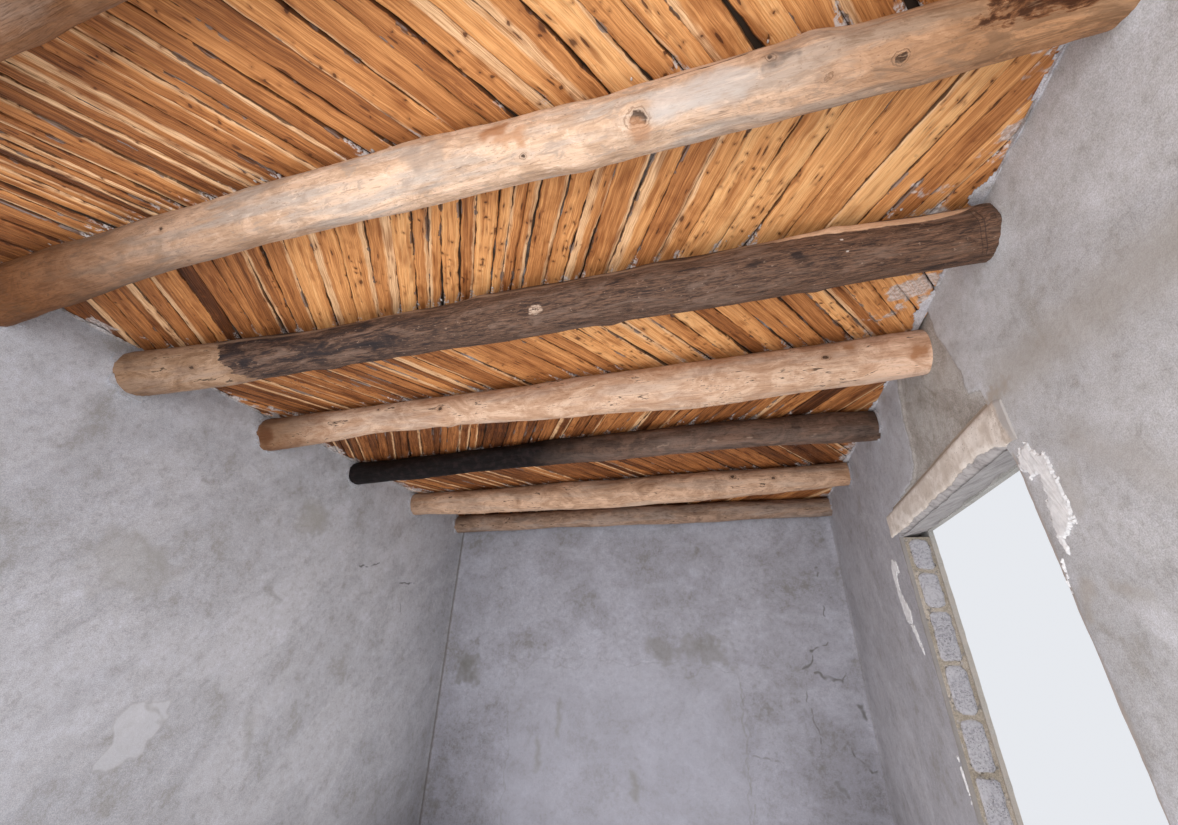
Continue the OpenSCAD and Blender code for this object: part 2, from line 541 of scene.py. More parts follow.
# One number or three for each point of a mesh, for the materials to read
def setValues(mesh, label, numbers):
    flat = len(numbers) == len(mesh.vertices)
    layer = mesh.attributes.new(label, "FLOAT" if flat else "FLOAT_VECTOR", "POINT")
    layer.data.foreach_set("value" if flat else "vector", numbers)


def addPiece(name, points, faces, material, stands=(), values=None, sharpAt=48):
    mesh = bpy.data.meshes.new(name)
    mesh.from_pydata(points, [], faces)
    for label, numbers in (values or {}).items():
        setValues(mesh, label, numbers)
    worked = bmesh.new()
    worked.from_mesh(mesh)
    bmesh.ops.recalc_face_normals(worked, faces=worked.faces)
    worked.to_mesh(mesh)
    worked.free()
    mesh.shade_smooth()
    mesh.set_sharp_from_angle(angle=math.radians(sharpAt))
    mesh.materials.append(material)
    piece = bpy.data.objects.new(name, mesh)
    scene.collection.objects.link(piece)
    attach(piece, "root")
    if stands:
        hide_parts(*stands)
    return piece


def gridSteps(uRange, vRange, step):
    return [max(2, round((stop - start) / step)) for start, stop in (uRange, vRange)]


def gridFaces(start, across, along):
    width = along + 1
    corners = [start + i * width + j for i in range(across) for j in range(along)]
    return [(k, k + width, k + width + 1, k + 1) for k in corners]


def gridRim(start, across, along):
    width = along + 1
    rim = [i * width for i in range(across)] + [across * width + j for j in range(along)]
    rim += [i * width + along for i in range(across, 0, -1)] + list(range(along, 0, -1))
    return [start + k for k in rim]


def bridge(faces, outer, inner):
    for k in range(len(outer)):
        after = (k + 1) % len(outer)
        faces.append((outer[k], outer[after], inner[after], inner[k]))


# Places on a plane across an axis: out stands off it, up the axis for way 1 and down it for -1
def onPlane(axis, level, way):
    def spot(u, v, out):
        point = [u, v]
        point.insert(axis, level + way * out)
        return point
    return spot


# A slab whose face is a relief: spot(u, v, out) gives a point, out is the height from the face
def reliefSlab(name, spot, uRange, vRange, step, relief, depth, material,
               stands=(), rough=0.0, nudge=None, rimRows=3):
    uSteps, vSteps = gridSteps(uRange, vRange, step)
    points = []
    for i in range(uSteps + 1):
        u = mix(*uRange, i / uSteps)
        for j in range(vSteps + 1):
            v = mix(*vRange, j / vSteps)
            du, dv = nudge(u, v) if nudge else (0, 0)
            points.append(Vector(spot(u + du, v + dv, relief(u + du, v + dv))))
    faces = gridFaces(0, uSteps, vSteps)
    loop = gridRim(0, uSteps, vSteps)
    backLoop = []
    for k in loop:
        i, j = divmod(k, vSteps + 1)
        backLoop.append(Vector(spot(mix(*uRange, i / uSteps), mix(*vRange, j / vSteps), -depth)))
    rows = [loop]
    for row in range(1, rimRows + 1):
        share = row / rimRows
        start = len(points)
        for k, back in zip(loop, backLoop):
            point = points[k].lerp(back, share)
            if row < rimRows:
                point = point + rough * noise.noise_vector(point * 55)
            points.append(point)
        rows.append(list(range(start, start + len(loop))))
    for outer, inner in zip(rows, rows[1:]):
        bridge(faces, outer, inner)
    faces.append(tuple(reversed(rows[-1])))
    return addPiece(name, points, faces, material, stands)


# A patch of relief over part of a face: only cells that the mask reaches are made
def reliefPatch(name, spot, uRange, vRange, step, height, depth, material, stands=()):
    uSteps, vSteps = gridSteps(uRange, vRange, step)
    level = {}
    for i in range(uSteps + 1):
        for j in range(vSteps + 1):
            level[i, j] = height(mix(*uRange, i / uSteps), mix(*vRange, j / vSteps))
    kept = {(i, j) for i in range(uSteps) for j in range(vSteps)
            if max(level[i, j], level[i + 1, j], level[i, j + 1], level[i + 1, j + 1]) > 0}
    index, points, faces = {}, [], []

    def corner(i, j, front):
        if (i, j, front) not in index:
            out = max(level[i, j], -0.0015) if front else -depth
            index[i, j, front] = len(points)
            points.append(Vector(spot(mix(*uRange, i / uSteps), mix(*vRange, j / vSteps), out)))
        return index[i, j, front]

    for i, j in sorted(kept):
        ring = [(i, j), (i + 1, j), (i + 1, j + 1), (i, j + 1)]
        faces.append([corner(*c, True) for c in ring])
        faces.append([corner(*c, False) for c in reversed(ring)])
        beside = [(i, j - 1), (i + 1, j), (i, j + 1), (i - 1, j)]
        for a, b, near in zip(ring, ring[1:] + ring[:1], beside):
            if near not in kept:
                faces.append([corner(*a, True), corner(*a, False), corner(*b, False), corner(*b, True)])
    return addPiece(name, points, faces, material, stands)


# Logs: their line and thickness come from the frame's own rings
def readLog(number):
    rings = {}
    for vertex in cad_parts[f"log_{number}"].data.vertices:
        rings.setdefault(round(vertex.co.x, 3), []).append(vertex.co.copy())
    rows = []
    for x in sorted(rings):
        ys = [c.y for c in rings[x]]
        zs = [c.z for c in rings[x]]
        rows.append((x, (min(ys) + max(ys)) / 2, (min(zs) + max(zs)) / 2, (max(zs) - min(zs)) / 2))
    return rows


logRows = {number: readLog(number) for number in range(1, logCount + 1)}


# Smooth curve through a log's rings: gives the axis' y and z, and the radius
def alongLog(number, x):
    rows = logRows[number]
    x = clamp(x, rows[0][0], rows[-1][0])
    k = 0
    while k < len(rows) - 2 and x > rows[k + 1][0]:
        k += 1
    start, stop = rows[k], rows[k + 1]
    before, after = rows[max(k - 1, 0)], rows[min(k + 2, len(rows) - 1)]
    span = stop[0] - start[0]
    t = (x - start[0]) / span
    found = []
    for part in (1, 2, 3):
        leave = (stop[part] - before[part]) / (stop[0] - before[0]) * span
        reach = (after[part] - start[part]) / (after[0] - start[0]) * span
        found.append((2 * t ** 3 - 3 * t ** 2 + 1) * start[part] + (t ** 3 - 2 * t ** 2 + t) * leave
                     + (3 * t ** 2 - 2 * t ** 3) * stop[part] + (t ** 3 - t ** 2) * reach)
    return found


# Knots are (share of the span, degrees from straight down towards the front, radius, rise).
# Bumps are (share, degrees, length along the log, width in degrees, rise). Ends are painted shade
# and light: a tint, darker below one and lighter above, how far it reaches in from the left end,
# then the same for the right end.
logForm = {"fineSides": 96, "fineStep": 0.0105, "plainSides": 60, "plainStep": 0.019, "fine": (2, 3, 4),
           "lump": 0.007, "facet": 0.003, "fibre": 0.001, "grainShift": 0.37}
logLooks = {
    1: {"seed": 11, "pale": (0.27, 0.136, 0.068), "mid": (0.2, 0.092, 0.042), "dark": (0.08, 0.036, 0.018),
        "grey": (0.22, 0.17, 0.14), "grain": 0.6, "stains": 0.5, "greying": 0.5, "checks": 0.6, "knots": [],
        "bumps": [], "ends": [(0.8, 0.74, 0.68), 0.4, (0.8, 0.74, 0.68), 0.4]},
    2: {"seed": 22, "pale": (0.66, 0.465, 0.34), "mid": (0.5, 0.335, 0.23), "dark": (0.25, 0.155, 0.1),
        "grey": (0.41, 0.35, 0.31), "grain": 0.48, "stains": 0.26, "greying": 0.85, "checks": 0.3,
        "knots": [(0.727, 34, 0.022, 0.008), (0.642, 19, 0.009, 0.003), (0.812, 70, 0.012, 0.006),
                  (0.3, 62, 0.008, 0.003), (0.885, 20, 0.013, 0.004), (0.845, 22, 0.009, 0.003)],
        "bumps": [(0.84, 95, 0.05, 30, 0.012), (0.62, 100, 0.1, 30, -0.007), (0.68, -35, 0.05, 28, 0.007),
                  (0.42, 100, 0.12, 30, 0.006), (0.2, 95, 0.09, 30, -0.006), (0.76, 60, 0.06, 25, -0.005),
                  (0.9, -20, 0.04, 25, 0.007), (0.79, -25, 0.05, 25, -0.006), (0.96, 95, 0.05, 30, -0.008)],
        "ends": [(0.23, 0.13, 0.062), 1.9, (0.62, 0.46, 0.32), 0.95]},
    3: {"seed": 33, "pale": (0.36, 0.235, 0.155), "mid": (0.26, 0.155, 0.093), "dark": (0.09, 0.045, 0.026),
        "grey": (0.24, 0.19, 0.165), "grain": 0.5, "stains": 0.3, "greying": 0.35, "checks": 0.9,
        "knots": [(0.12, 50, 0.012, 0.003)],
        "bumps": [(0.878, 126, 0.03, 16, 0.007), (0.3, -40, 0.05, 22, 0.008), (0.46, 120, 0.06, 25, -0.008),
                  (0.66, -45, 0.04, 20, 0.009), (0.52, 118, 0.05, 20, 0.008), (0.75, 120, 0.06, 25, -0.006),
                  (0.4, -42, 0.05, 20, -0.006), (0.995, 60, 0.03, 60, 0.006), (0.588, 51, 0.02, 12, 0.006),
                  (0.6, 100, 0.025, 18, -0.006), (0.86, -30, 0.03, 20, 0.006), (0.22, 105, 0.04, 22, 0.005),
                  (0.992, 78, 0.022, 13, 0.013), (0.99, 112, 0.03, 12, 0.008), (0.985, 40, 0.03, 12, -0.006),
                  (0.985, 14, 0.035, 11, 0.007)],
        "ends": [(0.8, 0.74, 0.68), 0.25, (1.12, 1.06, 1.0), 0.9]},
    4: {"seed": 44, "pale": (0.59, 0.412, 0.3), "mid": (0.44, 0.275, 0.182), "dark": (0.21, 0.095, 0.043),
        "grey": (0.38, 0.31, 0.27), "grain": 0.5, "stains": 0.4, "greying": 0.4, "checks": 0.9,
        "knots": [(0.892, 82, 0.015, 0.004), (0.241, 99, 0.01, 0.005), (0.356, 70, 0.014, 0.007)],
        "bumps": [(0.355, -32, 0.035, 22, 0.011), (0.6, 110, 0.1, 30, 0.005), (0.47, -25, 0.07, 25, -0.005)],
        "ends": [(0.4, 0.32, 0.25), 0.65, (1.25, 1.22, 1.22), 0.35]},
    5: {"seed": 55, "pale": (0.16, 0.095, 0.068), "mid": (0.09, 0.055, 0.04), "dark": (0.014, 0.009, 0.008),
        "grey": (0.15, 0.115, 0.1), "grain": 0.6, "stains": 0.5, "greying": 0.4, "checks": 0.6, "knots": [],
        "bumps": [(0.7, -60, 0.05, 25, 0.006), (0.85, 120, 0.06, 30, -0.005)],
        "ends": [(1.0, 1.0, 1.0), 0.2, (0.8, 0.8, 0.8), 0.2]},
    6: {"seed": 66, "pale": (0.54, 0.355, 0.245), "mid": (0.38, 0.235, 0.152), "dark": (0.13, 0.06, 0.03),
        "grey": (0.38, 0.32, 0.275), "grain": 0.55, "stains": 0.4, "greying": 0.35, "checks": 0.9,
        "knots": [(0.778, 100, 0.018, 0.004), (0.856, 81, 0.016, 0.004)],
        "bumps": [(0.5, -60, 0.08, 25, 0.005), (0.25, 110, 0.08, 25, 0.005)],
        "ends": [(0.8, 0.75, 0.7), 0.3, (0.9, 0.85, 0.8), 0.2]},
    7: {"seed": 77, "pale": (0.34, 0.225, 0.16), "mid": (0.225, 0.145, 0.103), "dark": (0.07, 0.04, 0.025),
        "grey": (0.31, 0.26, 0.23), "grain": 0.7, "stains": 0.5, "greying": 0.5, "checks": 1.0, "knots": [],
        "bumps": [], "ends": [(0.8, 0.8, 0.8), 0.3, (0.9, 0.9, 0.9), 0.2]},
}


def logSurface(number, x, drop, out=0.0):
    y, z, radius = alongLog(number, x)
    reach = radius + out
    return Vector((x, y - reach * math.sin(drop), z - reach * math.cos(drop)))


def makeLogMaterial(number, look):
    material, shader, space = newMaterial(f"log_{number}_wood")
    shift = Vector((0, logForm["grainShift"] * number, 0))
    vector = vectorMath("ADD", space, shift)
    eyes = []
    for share, degrees, radius, rise in look["knots"]:
        centre = logSurface(number, fromLeft(share), math.radians(degrees))
        eye = use("knotEye", Vector=vector, Centre=centre + shift, Radius=radius)
        eyes.append(eye)
        vector = eye["Bent"]
    names = ("pale", "mid", "dark", "grey", "grain", "stains", "greying", "checks")
    wood = use("logWood", Vector=vector, **{name.capitalize(): look[name] for name in names})
    colour, height, rough = wood["Colour"], wood["Height"], wood["Rough"]
    for eye in eyes:
        colour = blend(times(eye["Halo"], 0.45), colour, look["mid"])
        colour = blend(times(eye["Rings"], 0.75), colour, look["dark"])
        colour = blend(times(eye["Mask"], 0.9), colour, (0.055, 0.032, 0.022))
        height = timesPlus(eye["Rings"], -1.0, height)
    dress = logDress.get(number)
    if dress:
        colour, height = dress(space, colour, height)
    x = split(space)[0]
    # painted shade and light: each end is tinted darker where its tint is below one, lighter where above
    for face, tint, reach in ((leftFace, *look["ends"][:2]), (rightFace, *look["ends"][2:])):
        inward = reach if face < 0 else -reach
        near = band(x, face + inward, face + 0.12 * inward)
        colour = blend(near, colour, tinted(colour, tint))
    finishWith(shader, colour, rough, height)
    return material


# Log 3 has a dark coat that starts in a torn slanting line near its left end. It has black
# streaks, brown and grey fibres, a pale bare edge in front, and saw marks by its right end.
def coatLogThree(space, colour, height):
    x = split(space)[0]
    turn = attribute("turn", "Fac")
    fine = stretched(space, (22.0, 230.0, 230.0), 4, 0.8)
    cloud = stretched(space, (6.0, 27.0, 27.0), 5, 0.72, 0.7)
    fleck = stretched(space, (60.0, 110.0, 110.0), 2)
    torn = stretched(space, (7.0, 22.0, 22.0), 4, 0.7)
    torn = minus(torn, 0.5)
    start = timesPlus(turn, 0.061, x)
    start = timesPlus(torn, 0.16, start)
    border, soft = fromLeft(0.1845), 0.004
    coat = band(start, border - soft, border + soft)
    dark = blend(band(fine, 0.38, 0.66), (0.04, 0.024, 0.018), (0.165, 0.093, 0.062))
    dark = layered(
        dark,
        (cloud, 0.5, 0.64, 0.55, (0.175, 0.118, 0.092)),
        (cloud, 0.45, 0.34, 0.85, (0.018, 0.014, 0.015)))
    blacker = times(band(x, 0.1, -0.45), band(cloud, 0.56, 0.42))
    dark = blend(times(blacker, 0.75), dark, (0.018, 0.015, 0.017))
    dark = blend(band(fleck, 0.66, 0.74, 0.0, 0.55), dark, (0.3, 0.215, 0.165))
    colour = blend(coat, colour, dark)
    strip = times(band(x, fromLeft(0.8), fromLeft(0.9)), band(x, fromLeft(0.99), fromLeft(0.955)))
    border = timesPlus(strip, -0.2, 1.93)
    border = timesPlus(torn, 0.42, border)
    bare = band(minus(turn, border), -0.02, 0.03)
    bare = times(bare, band(turn, 2.25, 2.1))
    colour = blend(times(bare, band(strip, 0.0, 0.4, 0.3, 1.0)), colour,
                   blend(band(fine, 0.35, 0.65), (0.64, 0.45, 0.32), (0.42, 0.27, 0.18)))
    ragged = crooked(space, 70.0, 0.02)
    knotCentre = logSurface(3, fromLeft(0.588), math.radians(51))
    side = Vector((0.01, 0, 0))
    pale = strokeBetween(ragged, knotCentre - side, knotCentre + side, 0.016, 0.004, 0.85)
    colour = blend(pale, colour, blend(band(fine, 0.4, 0.6), (0.62, 0.48, 0.38), (0.2, 0.13, 0.095)))
    heart = strokeBetween(ragged, knotCentre - 0.3 * side, knotCentre + 0.4 * side, 0.0042, 0.002)
    colour = blend(heart, colour, (0.045, 0.025, 0.018))
    slanted = timesPlus(turn, 0.0158, x)
    for place_, wide in ((1.6485, 0.0022), (1.6375, 0.0014)):
        saw = band(absolute(minus(slanted, place_)), wide, 0.4 * wide)
        saw = times(saw, times(band(turn, 0.0, 0.08), band(turn, 1.8, 1.7)))
        colour = blend(times(saw, 0.7), colour, (0.035, 0.022, 0.018))
    # small bright heads of nails or clips by its upper edge
    for share, degrees in ((0.879, 81), (0.882, 57), (0.87, 107)):
        head = logSurface(3, fromLeft(share), math.radians(degrees))
        dot = strokeBetween(space, head, head + Vector((0.003, 0, 0)), 0.0046, 0.0016)
        colour = blend(dot, colour, (0.78, 0.74, 0.72))
    return colour, timesPlus(fine, 1.8, height)


# Log 5 is charred black at its left, and brown with pale flecks at its right
def charLogFive(space, colour, height):
    x = split(space)[0]
    ragged = timesPlus(noiseAt(space, 2.2, 4), 1.4, x)
    char = band(ragged, 1.35, 0.35)
    soot = blend(band(noiseAt(space, 30.0, 4), 0.45, 0.7), (0.0045, 0.0032, 0.0032), (0.017, 0.011, 0.011))
    colour = blend(char, colour, soot)
    flecks = band(stretched(space, (9.0, 30.0, 30.0), 5), 0.62, 0.7)
    flecks = times(flecks, band(x, -0.4, 0.9))
    return blend(times(flecks, 0.6), colour, (0.3, 0.215, 0.165)), height


# Soft stains: share of the span, degrees from straight down, half length and width, colour, cover
logSpots = {
    2: [(0.622, 84, 0.012, 0.026, (0.36, 0.165, 0.075), 0.85),
        (0.633, 55, 0.028, 0.018, (0.42, 0.215, 0.11), 0.75),
        (0.565, 66, 0.03, 0.028, (0.3, 0.235, 0.195), 0.65),
        (0.728, 14, 0.006, 0.02, (0.42, 0.215, 0.115), 0.7),
        (0.818, 66, 0.024, 0.012, (0.15, 0.125, 0.115), 0.8),
        (0.77, 50, 0.08, 0.032, (0.5, 0.455, 0.435), 0.6)],
    4: [(0.018, 60, 0.004, 0.05, (0.26, 0.115, 0.05), 0.85),
        (0.99, 60, 0.002, 0.03, (0.26, 0.115, 0.05), 0.8),
        (0.918, 100, 0.01, 0.014, (0.31, 0.15, 0.07), 0.7),
        (0.878, 60, 0.02, 0.012, (0.36, 0.19, 0.1), 0.5)],
}


def spotted(vector, colour, number):
    for share, degrees, long, wide, stain, cover in logSpots[number]:
        drop = math.radians(degrees)
        start = logSurface(number, fromLeft(share) - long, drop)
        stop = logSurface(number, fromLeft(share) + long, drop)
        colour = blend(strokeBetween(vector, start, stop, wide, 0.55 * wide, cover), colour, stain)
    return colour


# Log 2 has brown stains by its middle, grey streaks and dark brown ones by its right end, a
# long crack in front, and fine slanting scratches on its underside
def stainLogTwo(space, colour, height):
    x = split(space)[0]
    turn = attribute("turn", "Fac")
    streaks = stretched(space, (6.5, 24.0, 24.0), 5, 0.7, 1.2)
    worn = stretched(space, (17.0, 38.0, 38.0), 5, 0.72, 0.6)
    smudge = band(worn, 0.53, 0.66, 0.0, 0.7)
    colour = blend(smudge, colour, (0.345, 0.265, 0.215))
    colour = blend(band(worn, 0.44, 0.32, 0.0, 0.55), colour, (0.76, 0.58, 0.46))
    flecks = stretched(space, (38.0, 120.0, 120.0), 3, 0.7)
    flecks = times(band(flecks, 0.6, 0.68), band(streaks, 0.5, 0.6))
    colour = blend(times(flecks, 0.6), colour, (0.16, 0.11, 0.085))
    right = band(x, fromLeft(0.74), fromLeft(0.88))
    grey = times(band(streaks, 0.5, 0.6), right)
    colour = blend(times(grey, 0.7), colour, (0.285, 0.205, 0.155))
    burnt = band(x, fromLeft(0.905), fromLeft(0.97))
    side = band(absolute(minus(turn, 0.95)), 0.85, 0.25)
    burnt = times(burnt, side)
    patchy = timesPlus(streaks, 0.6, times(worn, 0.4))
    patchy = timesPlus(burnt, 0.105, minus(0.54, patchy))
    patchy = times(band(patchy, 0.05, 0.145), band(burnt, 0.0, 0.25))
    brownish = band(timesPlus(worn, 0.25, patchy), 0.06, 0.42, 0.0, 0.8)
    brownish = times(brownish, band(burnt, 0.0, 0.35))
    colour = blend(brownish, colour, (0.3, 0.15, 0.078))
    colour = blend(times(patchy, 0.93), colour, (0.062, 0.026, 0.013))
    colour = spotted(crooked(space, 22.0, 0.075), colour, 2)
    slanted = place("Mapping", {
        "Vector": space, "Rotation": (0, 0, math.radians(24)), "Scale": (12.0, 85.0, 60.0)}).outputs[0]
    scratch = noiseAt(slanted, 1.0, 3, 0.7)
    colour = layered(
        colour,
        (scratch, 0.58, 0.72, 0.3, (0.76, 0.62, 0.52)),
        (scratch, 0.4, 0.28, 0.3, (0.36, 0.26, 0.19)))
    tight = crooked(space, 25.0, 0.012)
    cuts = [logSurface(2, fromLeft(share), math.radians(degrees))
            for share, degrees in ((0.7425, 106), (0.7725, 101), (0.8, 103))]
    crack = 0.0
    for start, stop in zip(cuts, cuts[1:]):
        crack = larger(crack, strokeBetween(tight, start, stop, 0.0035, 0.0018))
    colour = blend(crack, colour, (0.05, 0.03, 0.022))
    return colour, height


def stainLogFour(space, colour, height):
    return spotted(crooked(space, 25.0, 0.06), colour, 4), height


logDress = {2: stainLogTwo, 3: coatLogThree, 4: stainLogFour, 5: charLogFive}


# How far the log's skin stands out from a plain round one
def logRise(look, knots, bumps, x, drop, radius):
    seed = look["seed"]
    s, c = math.sin(drop), math.cos(drop)
    out = logForm["lump"] * 1.5 * wobble(x * 2.3, s * 1.0, c * 1.0, seed)
    out += logForm["facet"] * roughness(x * 7, s * 3.0, c * 3.0, seed, 3)
    out += logForm["fibre"] * wobble(x * 7, s * 15, c * 15, seed + 3)
    out += 0.5 * logForm["lump"] * wobble(x * 5.5, s * 1.3, c * 1.3, seed + 6)
    for knotX, knotDrop, size, rise in knots:
        turn = (drop - knotDrop + math.pi) % (2 * math.pi) - math.pi
        far = math.hypot(x - knotX, turn * radius) / (size * 1.5)
        out += rise * math.exp(-far * far) - rise * 0.8 * math.exp(-7 * far * far)
    for bumpX, bumpDrop, long, wide, rise in bumps:
        turn = (drop - bumpDrop + math.pi) % (2 * math.pi) - math.pi
        out += rise * math.exp(-((x - bumpX) / long) ** 2 - (turn / wide) ** 2)
    return out


def makeLog(number):
    look = logLooks[number]
    fineLog = number in logForm["fine"]
    sides = logForm["fineSides" if fineLog else "plainSides"]
    step = logForm["fineStep" if fineLog else "plainStep"]
    lowX, highX = logRows[number][0][0], logRows[number][-1][0]
    rings = round((highX - lowX) / step)
    points, turns = [], []
    knots = [(fromLeft(k[0]), math.radians(k[1]), k[2], k[3]) for k in look["knots"]]
    bumps = [(fromLeft(b[0]), math.radians(b[1]), b[2], math.radians(b[3]), b[4]) for b in look["bumps"]]
    for i in range(rings + 1):
        x = mix(lowX, highX, i / rings)
        y, z, radius = alongLog(number, x)
        free = 1 - 0.85 * ease(abs(x), rightFace, rightFace + 0.02)
        for k in range(sides):
            drop = 2 * math.pi * k / sides
            reach = radius + free * logRise(look, knots, bumps, x, drop, radius)
            low = z - reach * math.cos(drop)
            points.append(Vector((x, y - reach * math.sin(drop), min(low, slatUnder + 0.0012))))
            turns.append(drop if drop <= math.pi else drop - 2 * math.pi)
    loops = [range(i * sides, (i + 1) * sides) for i in range(rings + 1)]
    faces = []
    for near, far in zip(loops, loops[1:]):
        bridge(faces, near, far)
    faces += [tuple(loops[0]), tuple(loops[-1])]
    addPiece(f"log_{number}_trunk", points, faces, makeLogMaterial(number, look), (f"log_{number}",),
             {"turn": turns})


# Slats: each bay is a row of split boards laid slantwise. A run says up to which share of the
# width it goes, the least and most board width, the tone (0 dark, 1 pale), its spread, and
# the share of boards with a pale live edge.
slatForm = {
    "rows": {1: 42, 2: 42, 3: 32, 4: 24, 5: 20, 6: 16},
    "columns": (0.0, 0.06, 0.2, 0.42, 0.62, 0.82, 0.94, 1.0),
    "intoWall": 0.01,
    "hang": 0.004,
    "gap": (-0.0016, 0.0012),
    "wideGap": (0.002, 0.004),
    "wideGapShare": 0.14,
    "sapLeast": 0.006,
    "sapMost": 0.45,
    "sapLeftShare": 0.6,
    "secondSapShare": 0.25,
    "secondSap": (0.004, 0.012),
    "swing": 1.2,
    "crown": (0.001, 0.004),
    "crownPower": (2.5, 6),
    "narrow": 0.045,
    "narrowCrown": 0.004,
    "tilt": 0.06,
    "drift": 0.003,
    "ripple": 0.001,
    "edgeLift": 0.0035,
    "overrun": 0.75,
    "leastShare": 0.12,
    "tries": 40,
}
# Towards the left wall the runs' tones grow darker: partly the boards' own tone, partly painted shade
slatBays = {
    1: {"lean": 1, "angle": 57, "seed": 1, "live": 0.004, "runs": [
        (0.1, 0.04, 0.07, 0.38, 0.1, 0.4), (0.22, 0.024, 0.042, 0.46, 0.13, 0.85),
        (0.4, 0.03, 0.06, 0.4, 0.11, 0.65), (0.56, 0.05, 0.085, 0.55, 0.08, 0.35),
        (0.78, 0.058, 0.092, 0.73, 0.09, 0.55), (0.92, 0.07, 0.1, 0.58, 0.08, 0.15),
        (2.0, 0.05, 0.08, 0.5, 0.1, 0.2)]},
    2: {"lean": -1, "angle": 59, "seed": 2, "live": 0.0035, "runs": [
        (0.12, 0.05, 0.09, 0.37, 0.1, 0.3), (0.3, 0.045, 0.085, 0.42, 0.12, 0.5),
        (0.43, 0.055, 0.095, 0.62, 0.07, 0.45), (0.6, 0.034, 0.07, 0.64, 0.11, 0.8),
        (0.76, 0.055, 0.095, 0.62, 0.09, 0.5), (0.93, 0.07, 0.11, 0.86, 0.07, 0.3),
        (2.0, 0.045, 0.08, 0.6, 0.1, 0.2)]},
    3: {"lean": 1, "angle": 58, "seed": 3, "live": 0.003, "runs": [
        (0.28, 0.035, 0.07, 0.36, 0.11, 0.38), (0.5, 0.045, 0.08, 0.54, 0.11, 0.45),
        (0.6, 0.05, 0.085, 0.6, 0.1, 0.35),
        (0.68, 0.07, 0.1, 0.84, 0.05, 0.2), (2.0, 0.055, 0.09, 0.62, 0.11, 0.3)]},
    4: {"lean": -1, "angle": 58, "seed": 4, "live": 0.0035, "runs": [
        (0.6, 0.04, 0.08, 0.27, 0.1, 0.4), (2.0, 0.05, 0.09, 0.36, 0.1, 0.3)]},
    5: {"lean": 1, "angle": 58, "seed": 5, "live": 0.003, "runs": [
        (2.0, 0.05, 0.09, 0.34, 0.12, 0.4)]},
    6: {"lean": -1, "angle": 58, "seed": 6, "live": 0.003, "runs": [
        (2.0, 0.05, 0.09, 0.34, 0.12, 0.4)]},
}


def bayLines(number):
    front = (lambda x: frontEdge + 0.003) if number == 1 else (lambda x: alongLog(number, x)[0])
    back = (lambda x: backFace + 0.008) if number == bayCount else (lambda x: alongLog(number + 1, x)[0])
    return front, back


# Where a line across the bay starts and stops, or None where it misses the bay
def boardReach(start, slope, front, back, limit):
    low, high = -1.0, 1.0
    for _ in range(5):
        low = (front(clamp(start.x + slope.x * low, -limit, limit)) - start.y) / slope.y
        high = (back(clamp(start.x + slope.x * high, -limit, limit)) - start.y) / slope.y
    edges = sorted(((-limit - start.x) / slope.x, (limit - start.x) / slope.x))
    low, high = max(low, edges[0]), min(high, edges[1])
    return (low, high) if high - low > 0.012 else None


